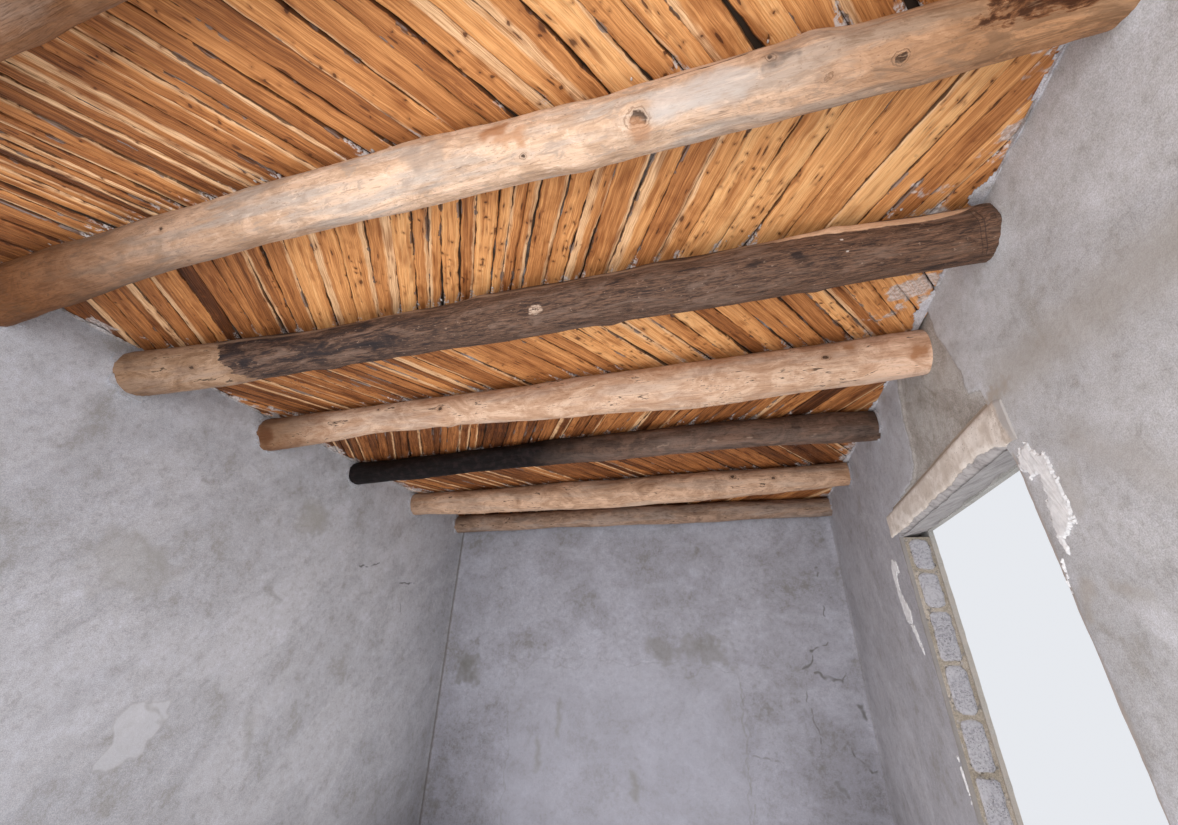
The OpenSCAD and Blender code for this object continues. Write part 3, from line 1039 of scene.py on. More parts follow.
def makeSlatBay(number, material):
    bay = slatBays[number]
    draw = random.Random(100 + bay["seed"])
    front, back = bayLines(number)
    angle = math.radians(bay["angle"])
    middleY = (front(0) + back(0)) / 2
    form = slatForm
    limit = rightFace + form["intoWall"]
    x = -limit - form["overrun"]
    points, faces, places, looks, seeds, ends = [], [], [], [], [], []
    while x < limit + form["overrun"]:
        share = (x - leftFace) / roomWidth
        run = next(r for r in bay["runs"] if share < r[0])
        width = draw.uniform(run[1], run[2])
        gap = draw.uniform(*form["gap"])
        gap += draw.uniform(*form["wideGap"]) if draw.random() < form["wideGapShare"] else 0
        tone = clamp(run[3] + draw.gauss(0, run[4]))
        paleEdge = draw.random() < run[5]
        sap = (form["sapLeast"], form["sapMost"] * width)
        sapLeft = draw.uniform(*sap) if paleEdge and draw.random() < form["sapLeftShare"] else -0.01
        sapRight = draw.uniform(*sap) if paleEdge and sapLeft < 0 else -0.01
        if paleEdge and draw.random() < form["secondSapShare"]:
            sapRight = draw.uniform(*form["secondSap"])
        swing = angle + math.radians(draw.uniform(-form["swing"], form["swing"]))
        slope = Vector((bay["lean"] * math.cos(swing), math.sin(swing)))
        side = Vector((math.sin(swing), -bay["lean"] * math.cos(swing)))
        crown = draw.uniform(*form["crown"]) + (form["narrowCrown"] if width < form["narrow"] else 0)
        crownPower = draw.uniform(*form["crownPower"])
        tilt = draw.uniform(-form["tilt"], form["tilt"])
        base = slatUnder + draw.uniform(-0.5, 1.0) * form["hang"]
        seed = draw.uniform(0, 60)
        centre = Vector((x + width / 2 / math.sin(angle), middleY))
        x += (width + gap) / math.sin(angle)
        tries = form["tries"]
        valid = [c / tries for c in range(tries + 1)
                 if boardReach(centre + side * width * (c / tries - 0.5), slope, front, back, limit)]
        if not valid or valid[-1] - valid[0] < form["leastShare"]:
            continue
        low, high = valid[0], valid[-1]
        start = len(points)
        columns = [mix(low, high, c) for c in form["columns"]]
        rows = form["rows"][number]
        for c in columns:
            reach = boardReach(centre + side * width * (c - 0.5), slope, front, back, limit)
            for r in range(rows + 1):
                t = mix(*reach, r / rows)
                leftLive = wobble(t * 4, seed, 0, 3) + 0.9 * roughness(t * 21, seed, 4, 5, 3)
                rightLive = wobble(t * 4, seed, 9, 7) + 0.9 * roughness(t * 21, seed, 8, 9, 3)
                drift = form["drift"] * wobble(t * 2.2, seed, 2, 1)
                least = -width / 2 + bay["live"] * leftLive
                most = width / 2 + bay["live"] * rightLive
                across = mix(least, most, c) + drift
                spot = centre + side * across + slope * t
                edge = abs(2 * c - 1)
                z = base + crown * edge ** crownPower + tilt * (c - 0.5) * width
                ripple = form["ripple"] * wobble(t * 7, across * 25, seed, 2)
                z += ripple + form["edgeLift"] * ease(edge, 0.86, 1.0)
                points.append(Vector((spot.x, spot.y, min(z, coreTop - 0.004))))
                places += [t, c * width, (1 - c) * width]
                looks += [tone, sapLeft, sapRight]
                seeds.append(seed)
                ends.append(min(t - reach[0], reach[1] - t))
        faces += gridFaces(start, len(columns) - 1, rows)
        rim = gridRim(start, len(columns) - 1, rows)
        top = range(len(points), len(points) + len(rim))
        for k in rim:
            points.append(Vector((points[k].x, points[k].y, coreTop - 0.0005)))
            places += places[3 * k:3 * k + 3]
            looks += looks[3 * k:3 * k + 3]
            seeds.append(seed)
            ends.append(ends[k])
        bridge(faces, rim, top)
        faces.append(tuple(top))
    values = {"boardPlace": places, "boardLook": looks, "boardSeed": seeds, "boardEnd": ends}
    addPiece(f"slat_boards_{number}", points, faces, material, (f"slat_deck_{number}",), values, 60)


slatTones = [
    (0.0, (0.06, 0.02, 0.008)), (0.22, (0.16, 0.055, 0.018)), (0.42, (0.33, 0.124, 0.04)),
    (0.62, (0.51, 0.218, 0.074)), (0.8, (0.675, 0.325, 0.122)), (1.0, (0.8, 0.46, 0.205)),
]


def makeSlatMaterial():
    material, shader, space = newMaterial("slat_wood")
    along, fromLeftEdge, fromRightEdge = split(attribute("boardPlace"))
    tone, sapLeft, sapRight = split(attribute("boardLook"))
    seed = attribute("boardSeed", "Fac")
    fromEnd = attribute("boardEnd", "Fac")
    middle = times(minus(fromLeftEdge, fromRightEdge), 0.5)
    vector = joined(along, middle, times(seed, 0.37))
    fibre = use("woodFibre", Vector=vector, Along=8.0, Across=400.0)
    fine, bands = fibre["Fine"], fibre["Bands"]
    shade = timesPlus(minus(bands, 0.5), 0.85, tone)
    shade = timesPlus(minus(fine, 0.5), -0.85, shade)
    ramp = place("ValToRGB", {"Fac": shade})
    stops = ramp.color_ramp.elements
    while len(stops) < len(slatTones):
        stops.new(0.5)
    for stop, (spot, colour) in zip(stops, slatTones):
        stop.position = spot
        stop.color = (*colour, 1)
    colour = ramp.outputs["Color"]
    # thin dark ring lines follow the bands
    line = scalar("FRACT", times(bands, 11.0))
    line = band(absolute(minus(line, 0.5)), 0.16, 0.0, 0.0, 0.34)
    colour = blend(line, colour, tinted(colour, (0.42, 0.33, 0.28)))
    ragged = scaled(vector, (11.0, 70.0, 1.0))
    torn = unevenAt(ragged, 1.0, 4, 0.7)
    sap = larger(minus(sapLeft, fromLeftEdge), minus(sapRight, fromRightEdge))
    sap = band(timesPlus(torn, 0.022, sap), -0.004, 0.005)
    paleWood = blend(band(fine, 0.38, 0.66), (0.8, 0.525, 0.305), (0.47, 0.245, 0.11))
    colour = blend(times(sap, 0.92), colour, paleWood)
    # small dark specks, short dashes and a few knots with a brown rim
    bent = vectorMath("ADD", vector, joined(times(bands, 0.03), times(torn, 0.006), 0.0))
    flat = vectorMath("ADD", bent, joined(0.0, times(seed, 1.3), 0.0))
    soiled = stretched(flat, (4.2, 19.0, 1.0), 2, 0.72)
    clusters = stretched(flat, (3.4, 6.0, 1.0), 1)
    marks = 0.0
    halo = 0.0
    for stretch, size, rarity in (((34.0, 30.0, 1.0), 0.15, 0.86), ((13.0, 70.0, 1.0), 0.2, 0.83),
                                  ((7.0, 12.0, 1.0), 0.085, 0.84)):
        found = place("TexVoronoi", {"Vector": scaled(flat, stretch), "Scale": 1.0},
                      voronoi_dimensions="2D").outputs
        tint = split(found["Color"])
        grown = times(tint[1], tint[1])
        reach = minus(found["Distance"], band(grown, 0.0, 1.0, 0.22 * size, size))
        reach = timesPlus(torn, 0.1, reach)
        picked = timesPlus(minus(clusters, 0.5), 1.9, tint[0])
        picked = band(picked, rarity, rarity + 0.03)
        marks = larger(marks, times(band(reach, 0.03, -0.03), picked))
        halo = larger(halo, times(band(reach, 2.0 * size, 0.0), picked))
    colour = blend(times(halo, 0.5), colour, (0.225, 0.076, 0.024))
    colour = blend(times(marks, 0.85), colour, (0.08, 0.026, 0.01))
    nearEdge = smaller(fromLeftEdge, fromRightEdge)
    patches = noiseAt(space, 6.0, 4, 0.68)
    barkWide = band(patches, 0.56, 0.63, 0.0014, 0.007)
    bark = minus(timesPlus(torn, 0.014, nearEdge), barkWide)
    bark = band(bark, 0.0008, -0.0008)
    colour = blend(times(bark, 0.85), colour,
                   blend(times(band(patches, 0.55, 0.6), band(fine, 0.42, 0.58)),
                         (0.055, 0.02, 0.009), (0.24, 0.195, 0.18)))
    # grey mortar smeared on the boards by the side walls, and white drips where gaps meet a log
    fromWall = minus(rightFace, absolute(split(space)[0]))
    smear = band(timesPlus(fromWall, -0.75, patches), 0.505, 0.55)
    daub = strokeBetween(crooked(space, 28.0, 0.05), (1.56, -0.54, slatUnder), (1.622, -0.56, slatUnder),
                         0.05, 0.006)
    smear = larger(smear, daub)
    smear = times(smear, band(fine, 0.66, 0.46, 0.45, 1.0))
    crumbly = noiseAt(space, 85.0, 2, 0.7)
    drip = timesPlus(nearEdge, 3.6, minus(fromEnd, 0.092))
    drip = timesPlus(torn, -0.22, drip)
    drip = times(band(drip, 0.02, 0.0), band(patches, 0.46, 0.54))
    drip = times(drip, band(crumbly, 0.44, 0.55))
    smear = larger(smear, drip)
    colour = blend(times(smear, 0.85), colour,
                   blend(band(crumbly, 0.4, 0.62), (0.36, 0.32, 0.31), (0.66, 0.61, 0.6)))
    soot = larger(band(patches, 0.46, 0.3, 0.0, 0.45), band(soiled, 0.44, 0.3, 0.0, 0.8))
    colour = blend(soot, colour, tinted(colour, (0.5, 0.38, 0.3)))
    height = times(fine, -2.0)
    finishWith(shader, colour, band(fine, 0.3, 0.7, 0.5, 0.68), height)
    return material


# Bedding mortar over the slats, which shows in their gaps
bedding = {"step": 0.024, "low": 0.0105, "sway": 0.009}


def beddingDrop(x, y):
    fill = roughness(x * 3.1, y * 3.1, 0, 4, 4)
    return clamp(bedding["low"] + bedding["sway"] * fill, 0.0015, 0.02)


def makeBeddingMaterial():
    material, shader, space = newMaterial("bedding_mortar")
    z = split(space)[2]
    grain = noiseAt(space, 40.0, 4, 0.7)
    colour = blend(band(grain, 0.4, 0.62), (0.16, 0.135, 0.12), (0.34, 0.32, 0.32))
    # painted shade: the deeper the mortar lies in a gap, the nearer to black it is painted
    colour = blend(band(z, slatUnder + 0.004, slatUnder + 0.01), colour, (0.03, 0.02, 0.014))
    finishWith(shader, colour, 0.9, grain)
    return material


def makeBedding():
    material = makeBeddingMaterial()
    reliefSlab("bedding_mortar", onPlane(2, coreTop - 0.001, -1),
               (leftFace - 0.012, rightFace + 0.012), (frontEdge + 0.02, backFace + 0.012), bedding["step"],
               beddingDrop, 0.0005, material, rimRows=1)


# Walls
wallForm = {"step": 0.022, "outerStep": 0.034, "sway": 0.0026, "haunch": 0.013, "haunchReach": 0.024,
            "underSlats": 0.011, "underReach": 0.022, "cornerFill": 0.012, "cornerReach": 0.018,
            "ripple": 0.0011, "grit": 0.0005, "outerSunk": 0.004, "outerSway": 0.0035, "outerGrit": 0.0014,
            "thick": 0.0148, "deepest": 0.0143, "sunkInCorner": 0.014, "underTop": 0.0005}


# How far the render is built up where a log or the slats meet it
def haunchAt(u, v, side):
    rise = 0.0
    for number in range(1, logCount + 1):
        y, z, radius = alongLog(number, side)
        away = math.hypot(u - y, v - z) - radius
        if away < 0.09:
            patchy = clamp(0.55 + 0.9 * wobble(u * 9, v * 9, number, 5))
            near = bell(max(away, 0), wallForm["haunchReach"])
            rise = max(rise, wallForm["haunch"] * patchy * near)
    under = slatUnder - v
    patchy = clamp(0.45 + 1.1 * wobble(u * 5, v * 5, side, 8))
    near = bell(max(under, 0), wallForm["underReach"])
    return max(rise, wallForm["underSlats"] * patchy * near)


def wallSway(u, v, seed):
    wavy = wallForm["sway"] * wobble(u * 0.9, v * 0.9, 0, seed)
    wavy += wallForm["ripple"] * wobble(u * 3.3, v * 3.3, 1, seed)
    return wavy + wallForm["grit"] * roughness(u * 11, v * 11, 2, seed, 2)


def cornerFill(distance):
    return wallForm["cornerFill"] * bell(distance, wallForm["cornerReach"])


def warmGrey(tone):
    return tone, tone - 0.005, tone - 0.01


# Each wall's marks: centre, half size, tear, fineness, softness, colour, share of cover. Its
# slopes are painted light and shade, a tint that grows along one axis: axis, start, stop, tint. Its
# strokes run between two places on the wall: start, stop, half width, softness, colour, cover.
wallMarks = {
    "left_wall": {
        "base": (0.318, 0.322, 0.352), "light": (0.378, 0.382, 0.418), "stain": (0.24, 0.232, 0.224),
        "onWall": lambda u, v: (leftFace, u, v),
        "slopes": [(1, -1.4, 0.5, (1.12, 1.115, 1.1)), (1, 0.8, 2.1, (0.84, 0.84, 0.85)),
                   (2, 1.7, 0.8, (0.88, 0.88, 0.88))],
        "marks": [
            ((leftFace, -0.31, 1.21), (0.1, 0.09, 0.1), 0.24, 6.0, 0.012, (0.445, 0.452, 0.495), 0.6),
            # painted shade: a dark strip down the corner where the left wall meets the back wall
            ((leftFace, backFace - 0.008, 1.4), (0.1, 0.01, 2.0), 0.012, 30.0, 0.005,
             (0.12, 0.105, 0.098), 0.65),
            ((leftFace, -0.58, 1.82), (0.1, 0.09, 0.07), 0.5, 5.0, 0.09, (0.275, 0.268, 0.25), 0.35),
            ((leftFace, 0.28, 2.3), (0.1, 0.08, 0.06), 0.2, 8.0, 0.05, (0.255, 0.248, 0.23), 0.65),
        ],
        "strokes": [
            ((0.777, 2.085), (0.967, 2.133), 0.005, 0.003, (0.1, 0.1, 0.1), 0.85),
            ((1.259, 2.042), (1.433, 2.057), 0.0055, 0.003, (0.1, 0.1, 0.1), 0.85),
            ((1.3, 1.9), (1.33, 1.8), 0.005, 0.004, (0.13, 0.13, 0.13), 0.6),
            ((-0.62, 1.98), (-0.46, 1.86), 0.02, 0.024, (0.25, 0.245, 0.235), 0.45),
            ((-0.45, 2.3), (-0.41, 2.296), 0.014, 0.012, (0.2, 0.19, 0.18), 0.6),
            ((0.24, 1.23), (0.29, 1.06), 0.022, 0.02, (0.24, 0.235, 0.225), 0.5),
            ((-0.3, 1.34), (-0.16, 1.2), 0.008, 0.008, warmGrey(0.26), 0.5),
            ((0.1, 1.86), (0.19, 1.8), 0.016, 0.016, (0.22, 0.215, 0.205), 0.5),
        ],
    },
    "back_wall": {
        "base": (0.28, 0.279, 0.315), "light": (0.338, 0.341, 0.39), "stain": (0.195, 0.187, 0.178),
        "onWall": lambda u, v: (u, backFace, v),
        "slopes": [(0, 0.2, 1.5, (1.07, 1.06, 1.05)), (2, 1.7, 0.8, (0.86, 0.86, 0.87))],
        "marks": [
            ((-0.085, backFace, 0.6), (0.915, 0.1, 0.9), 0.34, 4.2, 0.014, (0.345, 0.349, 0.4), 0.4),
            # painted shade: a dark strip down the corner where the back wall meets the left wall
            ((-1.669, backFace, 1.4), (0.01, 0.1, 2.0), 0.012, 30.0, 0.005, (0.12, 0.105, 0.098), 0.65),
            ((-1.44, backFace, 1.44), (0.04, 0.1, 0.05), 0.36, 8.0, 0.1, (0.15, 0.146, 0.13), 0.8),
            ((0.46, backFace, 1.63), (0.26, 0.1, 0.05), 0.4, 6.0, 0.07, (0.19, 0.183, 0.175), 0.6),
        ],
        "strokes": [
            ((1.2, 1.49), (1.36, 1.58), 0.006, 0.004, warmGrey(0.13), 0.8),
            ((1.36, 1.58), (1.36, 1.66), 0.005, 0.004, warmGrey(0.13), 0.8),
            ((1.36, 1.66), (1.51, 1.71), 0.005, 0.004, warmGrey(0.13), 0.8),
            ((1.36, 1.5), (1.51, 1.45), 0.008, 0.005, warmGrey(0.13), 0.8),
            ((1.51, 1.45), (1.565, 1.51), 0.006, 0.004, warmGrey(0.13), 0.7),
            ((1.28, 1.39), (1.31, 1.17), 0.005, 0.004, warmGrey(0.14), 0.7),
            ((1.31, 1.17), (1.32, 1.07), 0.005, 0.004, warmGrey(0.12), 0.8),
            ((1.615, 1.31), (1.638, 1.235), 0.012, 0.008, warmGrey(0.12), 0.8),
            ((1.52, 1.04), (1.6, 0.94), 0.008, 0.006, warmGrey(0.12), 0.8),
            ((1.6, 0.94), (1.67, 0.95), 0.006, 0.005, warmGrey(0.12), 0.8),
            ((0.87, 0.97), (1.03, 0.96), 0.006, 0.005, warmGrey(0.15), 0.6),
            ((1.38, 0.87), (1.44, 0.79), 0.014, 0.01, warmGrey(0.15), 0.6),
            ((1.503, 2.23), (1.5, 2.18), 0.008, 0.005, warmGrey(0.13), 0.7),
            ((1.502, 1.95), (1.492, 1.85), 0.007, 0.004, warmGrey(0.13), 0.7),
            ((0.83, 1.42), (0.835, 0.2), 0.005, 0.006, warmGrey(0.2), 0.6),
            ((-0.574, 1.23), (-0.579, 1.03), 0.02, 0.02, (0.19, 0.185, 0.175), 0.55),
            ((-0.733, 0.97), (-0.734, 0.78), 0.022, 0.022, (0.19, 0.185, 0.175), 0.55),
            ((0.018, 0.81), (0.031, 0.67), 0.024, 0.024, (0.19, 0.185, 0.175), 0.6),
        ],
    },
    "right_wall": {
        "base": (0.38, 0.378, 0.395), "light": (0.445, 0.444, 0.465), "stain": (0.3, 0.284, 0.264),
        "onWall": lambda u, v: (rightFace, u, v),
        "slopes": [(1, -0.7, 0.7, (0.8, 0.79, 0.82))],
        "marks": [
            ((rightFace, farJamb, 1.06), (0.2, 0.01, 1.06), 0.03, 18.0, 0.006, (0.31, 0.285, 0.255), 0.8),
            ((rightFace, nearJamb, 1.02), (0.2, 0.03, 1.1), 0.05, 12.0, 0.012, (0.395, 0.345, 0.318), 0.8),
            ((rightFace, -0.6, 2.29), (0.2, 0.09, 0.018), 0.12, 14.0, 0.014, (0.33, 0.275, 0.225), 0.75),
        ],
        "strokes": [
            ((-0.64, 2.31), (-1.25, 2.22), 0.06, 0.055, (0.315, 0.29, 0.265), 0.6),
            ((-0.73, 1.98), (-0.71, 1.92), 0.03, 0.03, (0.34, 0.315, 0.29), 0.5),
            ((-0.79, 1.69), (-0.7, 1.73), 0.014, 0.012, (0.32, 0.295, 0.27), 0.6),
            ((-0.62, 1.74), (-0.58, 1.68), 0.02, 0.016, (0.34, 0.31, 0.28), 0.6),
            ((-0.8, 2.05), (-1.3, 1.6), 0.035, 0.045, (0.36, 0.335, 0.315), 0.45),
        ],
    },
    "outer": {
        "base": (0.375, 0.366, 0.352), "light": (0.4, 0.392, 0.378), "stain": (0.315, 0.298, 0.272),
        "marks": [
            ((1.81, farJamb, 1.0), (0.03, 0.012, 1.12), 0.02, 30.0, 0.006, (0.43, 0.385, 0.345), 0.8),
            ((1.81, nearJamb, 1.0), (0.03, 0.012, 1.12), 0.02, 30.0, 0.006, (0.43, 0.385, 0.345), 0.8),
        ],
    },
}


def makeWallMaterial(name, stains=0.55, grit=0.5, veins=0.2, patched=False):
    marks = wallMarks[name]
    material, shader, space = newMaterial(name + ("_patched_render" if patched else "_render"))
    cement = use("cementFinish", Vector=space, Base=marks["base"], Light=marks["light"], Stain=marks["stain"],
                 Stains=stains, Grit=grit, Veins=veins)
    colour = cement["Colour"]
    for centre, half, tear, fineness, softness, tint, cover in marks["marks"]:
        mark = use("tornPatch", Vector=space, Centre=centre, Half=half, Tear=tear,
                   Fineness=fineness, Softness=softness)
        colour = blend(times(mark["Inside"], cover), colour, tint)
        colour = blend(times(mark["Border"], 0.25), colour, marks["stain"])
    # painted light and shade: each slope tints the wall lighter or darker along one axis, as the light falls
    for axis, start, stop, tint in marks.get("slopes", []):
        share = band(split(space)[axis], start, stop)
        colour = blend(share, colour, tinted(colour, tint))
    if patched:
        colour = patchOverDoor(space, colour)
    loose = crooked(space, 14.0, 0.07, 1)
    for start, stop, wide, soft, tint, cover in marks.get("strokes", []):
        mask = strokeBetween(loose, marks["onWall"](*start), marks["onWall"](*stop), wide, soft, cover)
        colour = blend(mask, colour, tint)
    finishWith(shader, colour, cement["Rough"], cement["Height"])
    return material


# Over the door the wall is browner and darker where the rough patch lies deeper: partly the patch's
# rough finish, partly painted shade. A dark line along its torn border is painted shade at the step.
def patchOverDoor(space, colour):
    x, y, z = split(space)
    rough = use("cementFinish", Vector=space, Base=(0.29, 0.265, 0.245), Light=(0.365, 0.345, 0.33),
                Stain=(0.2, 0.172, 0.14), Stains=0.7, Grit=0.9, Clouds=4.0)
    depth = minus(x, rightFace)
    inDoorway = times(band(z, lintelTop - 0.01, lintelTop), band(y, -0.75, -0.66))
    inDoorway = times(inDoorway, band(y, 0.62, 0.56))
    patch = times(band(depth, 0.0025, 0.0055), inDoorway)
    # painted shade along the slope of the step at the patch's torn border
    edge = times(band(depth, 0.0, 0.003), band(depth, 0.0065, 0.003))
    colour = blend(patch, colour, rough["Colour"])
    return blend(times(times(edge, inDoorway), 0.5), colour, (0.15, 0.125, 0.1))


def raggedEdge(line, amount, seed):
    def nudge(u, v):
        near = math.exp(-abs(u - line) / 0.02) * ease(v, doorHead + 0.02, doorHead - 0.05)
        return amount * near * roughness(u * 3, v * 19, 0, seed, 4), 0
    return nudge


# The render is worn round along the near jamb, where its columns stand closer together
jambRound = {"deep": 0.0135, "reach": 0.036, "gather": 0.066, "endsFrom": 2.08, "endsAt": 2.17}


def nearJambRound(u, v):
    uneven = 1 + 0.35 * wobble(0, v * 6, 0, 15)
    worn = ease(u, nearJamb - jambRound["reach"] * uneven, nearJamb)
    return -jambRound["deep"] * worn * ease(v, jambRound["endsAt"], jambRound["endsFrom"])


def gatherAtJamb(u, v):
    back = nearJamb - u
    shift = back - back * back / jambRound["gather"] if back < jambRound["gather"] else 0
    return shift + (raggedEdge(nearJamb, 0.005, 4)(u, v)[0] if back < 0.001 else 0), 0


def makeInnerWalls(finishes):
    top = coreTop - wallForm["underTop"]
    past = backFace + wallForm["sunkInCorner"]

    def leftSkin(u, v):
        return wallSway(u, v, 1) + haunchAt(u, v, leftFace) + cornerFill(backFace - u)

    def backSkin(u, v):
        rise = wallSway(u, v, 2) + 0.01 * bell(slatUnder - v, 0.02)
        return rise + cornerFill(min(u - leftFace, rightFace - u))

    def rightSkin(u, v):
        return wallSway(u, v, 3) + haunchAt(u, v, rightFace)

    def farSkin(u, v):
        return rightSkin(u, v) + cornerFill(backFace - u)

    def nearSkin(u, v):
        return max(rightSkin(u, v) + nearJambRound(u, v), -wallForm["deepest"])

    def overSkin(u, v):
        return overDoorRelief(u, v, rightSkin)

    onRight = onPlane(0, rightFace, -1)
    sides = [
        ("left_wall", onPlane(0, leftFace, 1), (frontEdge, past), 0, leftSkin, "left", 0.002, None),
        ("back_wall", onPlane(1, backFace, -1), (leftFace, rightFace), 0, backSkin, "back", 0.002, None),
        ("far_pier", onRight, (farJamb, past), 0, farSkin, "right", 0.003, raggedEdge(farJamb, 0.006, 3)),
        ("near_pier", onRight, (frontEdge, nearJamb), 0, nearSkin, "right", 0.001, gatherAtJamb),
        ("over_door", onRight, (nearJamb, farJamb), lintelTop, overSkin, "overDoor", 0.001, None),
    ]
    for name, spot, uRange, low, skin, finish, rough, nudge in sides:
        over = name == "over_door"
        step = overDoor["step"] if over else wallForm["step"]
        stands = (name + "_inner_render",) + (("over_door_patch",) if over else ())
        reliefSlab(name + "_face", spot, uRange, (low, top), step, skin, wallForm["thick"], finishes[finish],
                   stands, rough, nudge)


# Over the door a rough patch lies back between two torn borders of the smooth render.
# The borders are (height, place along the wall) from the lintel up to the slats.
overDoor = {
    "step": 0.0105,
    "recess": 0.009,
    "topRecess": 0.0135,
    "deepest": 0.0142,
    "torn": 0.022,
    "grit": 0.0016,
    "farBorder": [(2.27, 0.42), (2.294, 0.212), (2.343, 0.152), (2.407, 0.134), (2.5, 0.121), (2.628, 0.073),
                  (2.713, 0.038), (2.8, 0.02)],
    "nearBorder": [(2.27, -0.6), (2.328, -0.536), (2.367, -0.461), (2.41, -0.448), (2.469, -0.437),
                   (2.6, -0.406), (2.8, -0.39)],
}


def alongBorder(line, v):
    for (low, a), (high, b) in zip(line, line[1:]):
        if v <= high:
            return mix(a, b, clamp((v - low) / (high - low)))
    return line[-1][1]


def overDoorRelief(u, v, skin):
    torn = overDoor["torn"] * roughness(u * 9, v * 9, 0, 12, 4)
    beyond = max(alongBorder(overDoor["nearBorder"], v) - u, u - alongBorder(overDoor["farBorder"], v)) + torn
    inPatch = ease(beyond, 0.008, -0.006)
    depth = mix(overDoor["recess"], overDoor["topRecess"], ease(v, 2.35, 2.75))
    roughFace = -depth + overDoor["grit"] * roughness(u * 14, v * 14, 1, 13, 4)
    roughFace += 0.5 * haunchAt(u, v, rightFace)
    return mix(skin(u, v), max(roughFace, -overDoor["deepest"]), inPatch)


# Rough mortar packed round each log where it enters a side wall
collarForm = {"step": 0.0075, "thick": 0.006, "most": 0.017, "grit": 0.0022, "leastWide": 0.003,
              "fullWide": 0.02, "back": 0.012, "bareRight": (2, 3, 4)}


def makeCollar(number, face, side, material):
    y, z, radius = alongLog(number, face)
    seed = number + (20 if face > 0 else 40)
    reach = radius + collarForm["most"] + 0.01

    def height(u, v):
        du, dv = u - y, v - z
        turn = math.atan2(du, -dv)
        uneven = 0.3 + 1.5 * roughness(math.sin(turn) * 2.2, math.cos(turn) * 2.2, 0, seed, 4)
        wide = collarForm["most"] * clamp(uneven)
        away = math.hypot(du, dv) - radius
        if away > wide or wide < collarForm["leastWide"] or v > slatUnder + 0.002:
            return -0.004
        rise = 1 - clamp(away / wide) ** 1.6
        lumps = collarForm["grit"] * roughness(u * 45, v * 45, 0, seed + 5, 3)
        thick = mix(-0.001, collarForm["thick"] * (0.5 + 0.5 * rise), rise ** 0.5)
        return thick * clamp(wide / collarForm["fullWide"], 0.4, 1) + lumps

    reliefPatch(f"{side}_collar_{number}", lambda u, v, out: (face - math.copysign(out, face), u, v),
                (y - reach, y + reach), (z - reach, slatUnder + 0.004), collarForm["step"], height,
                collarForm["back"], material)


def makeCollars(finishes):
    for number in range(1, logCount + 1):
        makeCollar(number, leftFace, "left", finishes["left"])
        if number not in collarForm["bareRight"]:
            makeCollar(number, rightFace, "right", finishes["right"])


# Mortar smeared under the slats along the side walls, with a ragged edge
edgeMortar = {"step": 0.006, "reach": 0.065, "most": 0.006, "lobeAt": -0.935, "lobeLong": 0.042,
              "lobeWide": 0.034, "leastWide": 0.003, "wider": 0.06, "torn": 0.012, "grit": 0.0012}


def makeEdgeMortar(name, face, seed, material):
    def height(u, v):
        uneven = clamp(0.2 + roughness(u * 3.2, 0, 0, seed, 5)) ** 1.5
        wide = edgeMortar["leastWide"] + edgeMortar["wider"] * uneven
        if face > 0:
            lobe = bell(u - edgeMortar["lobeAt"], edgeMortar["lobeLong"])
            wide += edgeMortar["lobeWide"] * lobe
        torn = edgeMortar["torn"] * roughness(u * 24, v * 24, 0, seed + 2, 3)
        share = clamp(1 - (v + torn) / wide)
        if share <= 0:
            return -0.002
        return edgeMortar["most"] * share ** 0.6 + edgeMortar["grit"] * roughness(u * 50, v * 50, 1, seed, 2)

    reliefPatch(name, lambda u, v, out: (face - math.copysign(v, face), u, slatUnder - 0.0045 - out),
                (frontEdge + 0.01, backFace - 0.01), (-0.006, edgeMortar["reach"]), edgeMortar["step"],
                height, 0.003, material)


def makeEdgeMortars():
    material = makeMortarMaterial("edge_mortar", (0.27, 0.25, 0.245), (0.4, 0.38, 0.385), (0.16, 0.13, 0.105))
    paler = makeMortarMaterial("pale_edge_mortar", (0.4, 0.39, 0.42), (0.48, 0.47, 0.5), (0.3, 0.27, 0.25))
    makeEdgeMortar("left_edge_mortar", leftFace, 81, material)
    makeEdgeMortar("right_edge_mortar", rightFace, 83, paler)


# Outer render
def outerSway(u, v, seed):
    wavy = -wallForm["outerSunk"] + wallForm["outerSway"] * wobble(u * 1.1, v * 1.1, 3, seed)
    return wavy + wallForm["outerGrit"] * roughness(u * 7, v * 7, 4, seed, 3)


def makeOuterWalls():
    finish = makeWallMaterial("outer", 0.35, 1.1, 0.1)
    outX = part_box("left_wall_outer_render")
    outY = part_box("back_wall_outer_render")
    thick = outX[1].x - outX[0].x - 0.0005
    top = coreTop - wallForm["underTop"]
    onRight = onPlane(0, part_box("far_pier_outer_render")[1].x, 1)
    lip = 0.009
    sides = [
        ("left_wall", onPlane(0, outX[0].x, -1), (frontEdge, outY[0].y), 0, 21, None),
        ("back_wall", onPlane(1, outY[1].y, 1), (outY[0].x + 0.004, outY[1].x - 0.004), 0, 22, None),
        ("far_pier", onRight, (farJamb - lip, outY[0].y), 0, 23, raggedEdge(farJamb, 0.008, 23)),
        ("near_pier", onRight, (frontEdge, nearJamb), 0, 23, raggedEdge(nearJamb, 0.008, 24)),
        ("over_door", onRight, (nearJamb, farJamb - lip), doorHead + lintelForm["outerRise"], 23, None),
    ]
    for name, spot, uRange, low, seed, nudge in sides:
        reliefSlab(name + "_outside", spot, uRange, (low, top), wallForm["outerStep"],
                   partial(outerSway, seed=seed), thick, finish, (name + "_outer_render",),
                   0.004, nudge)


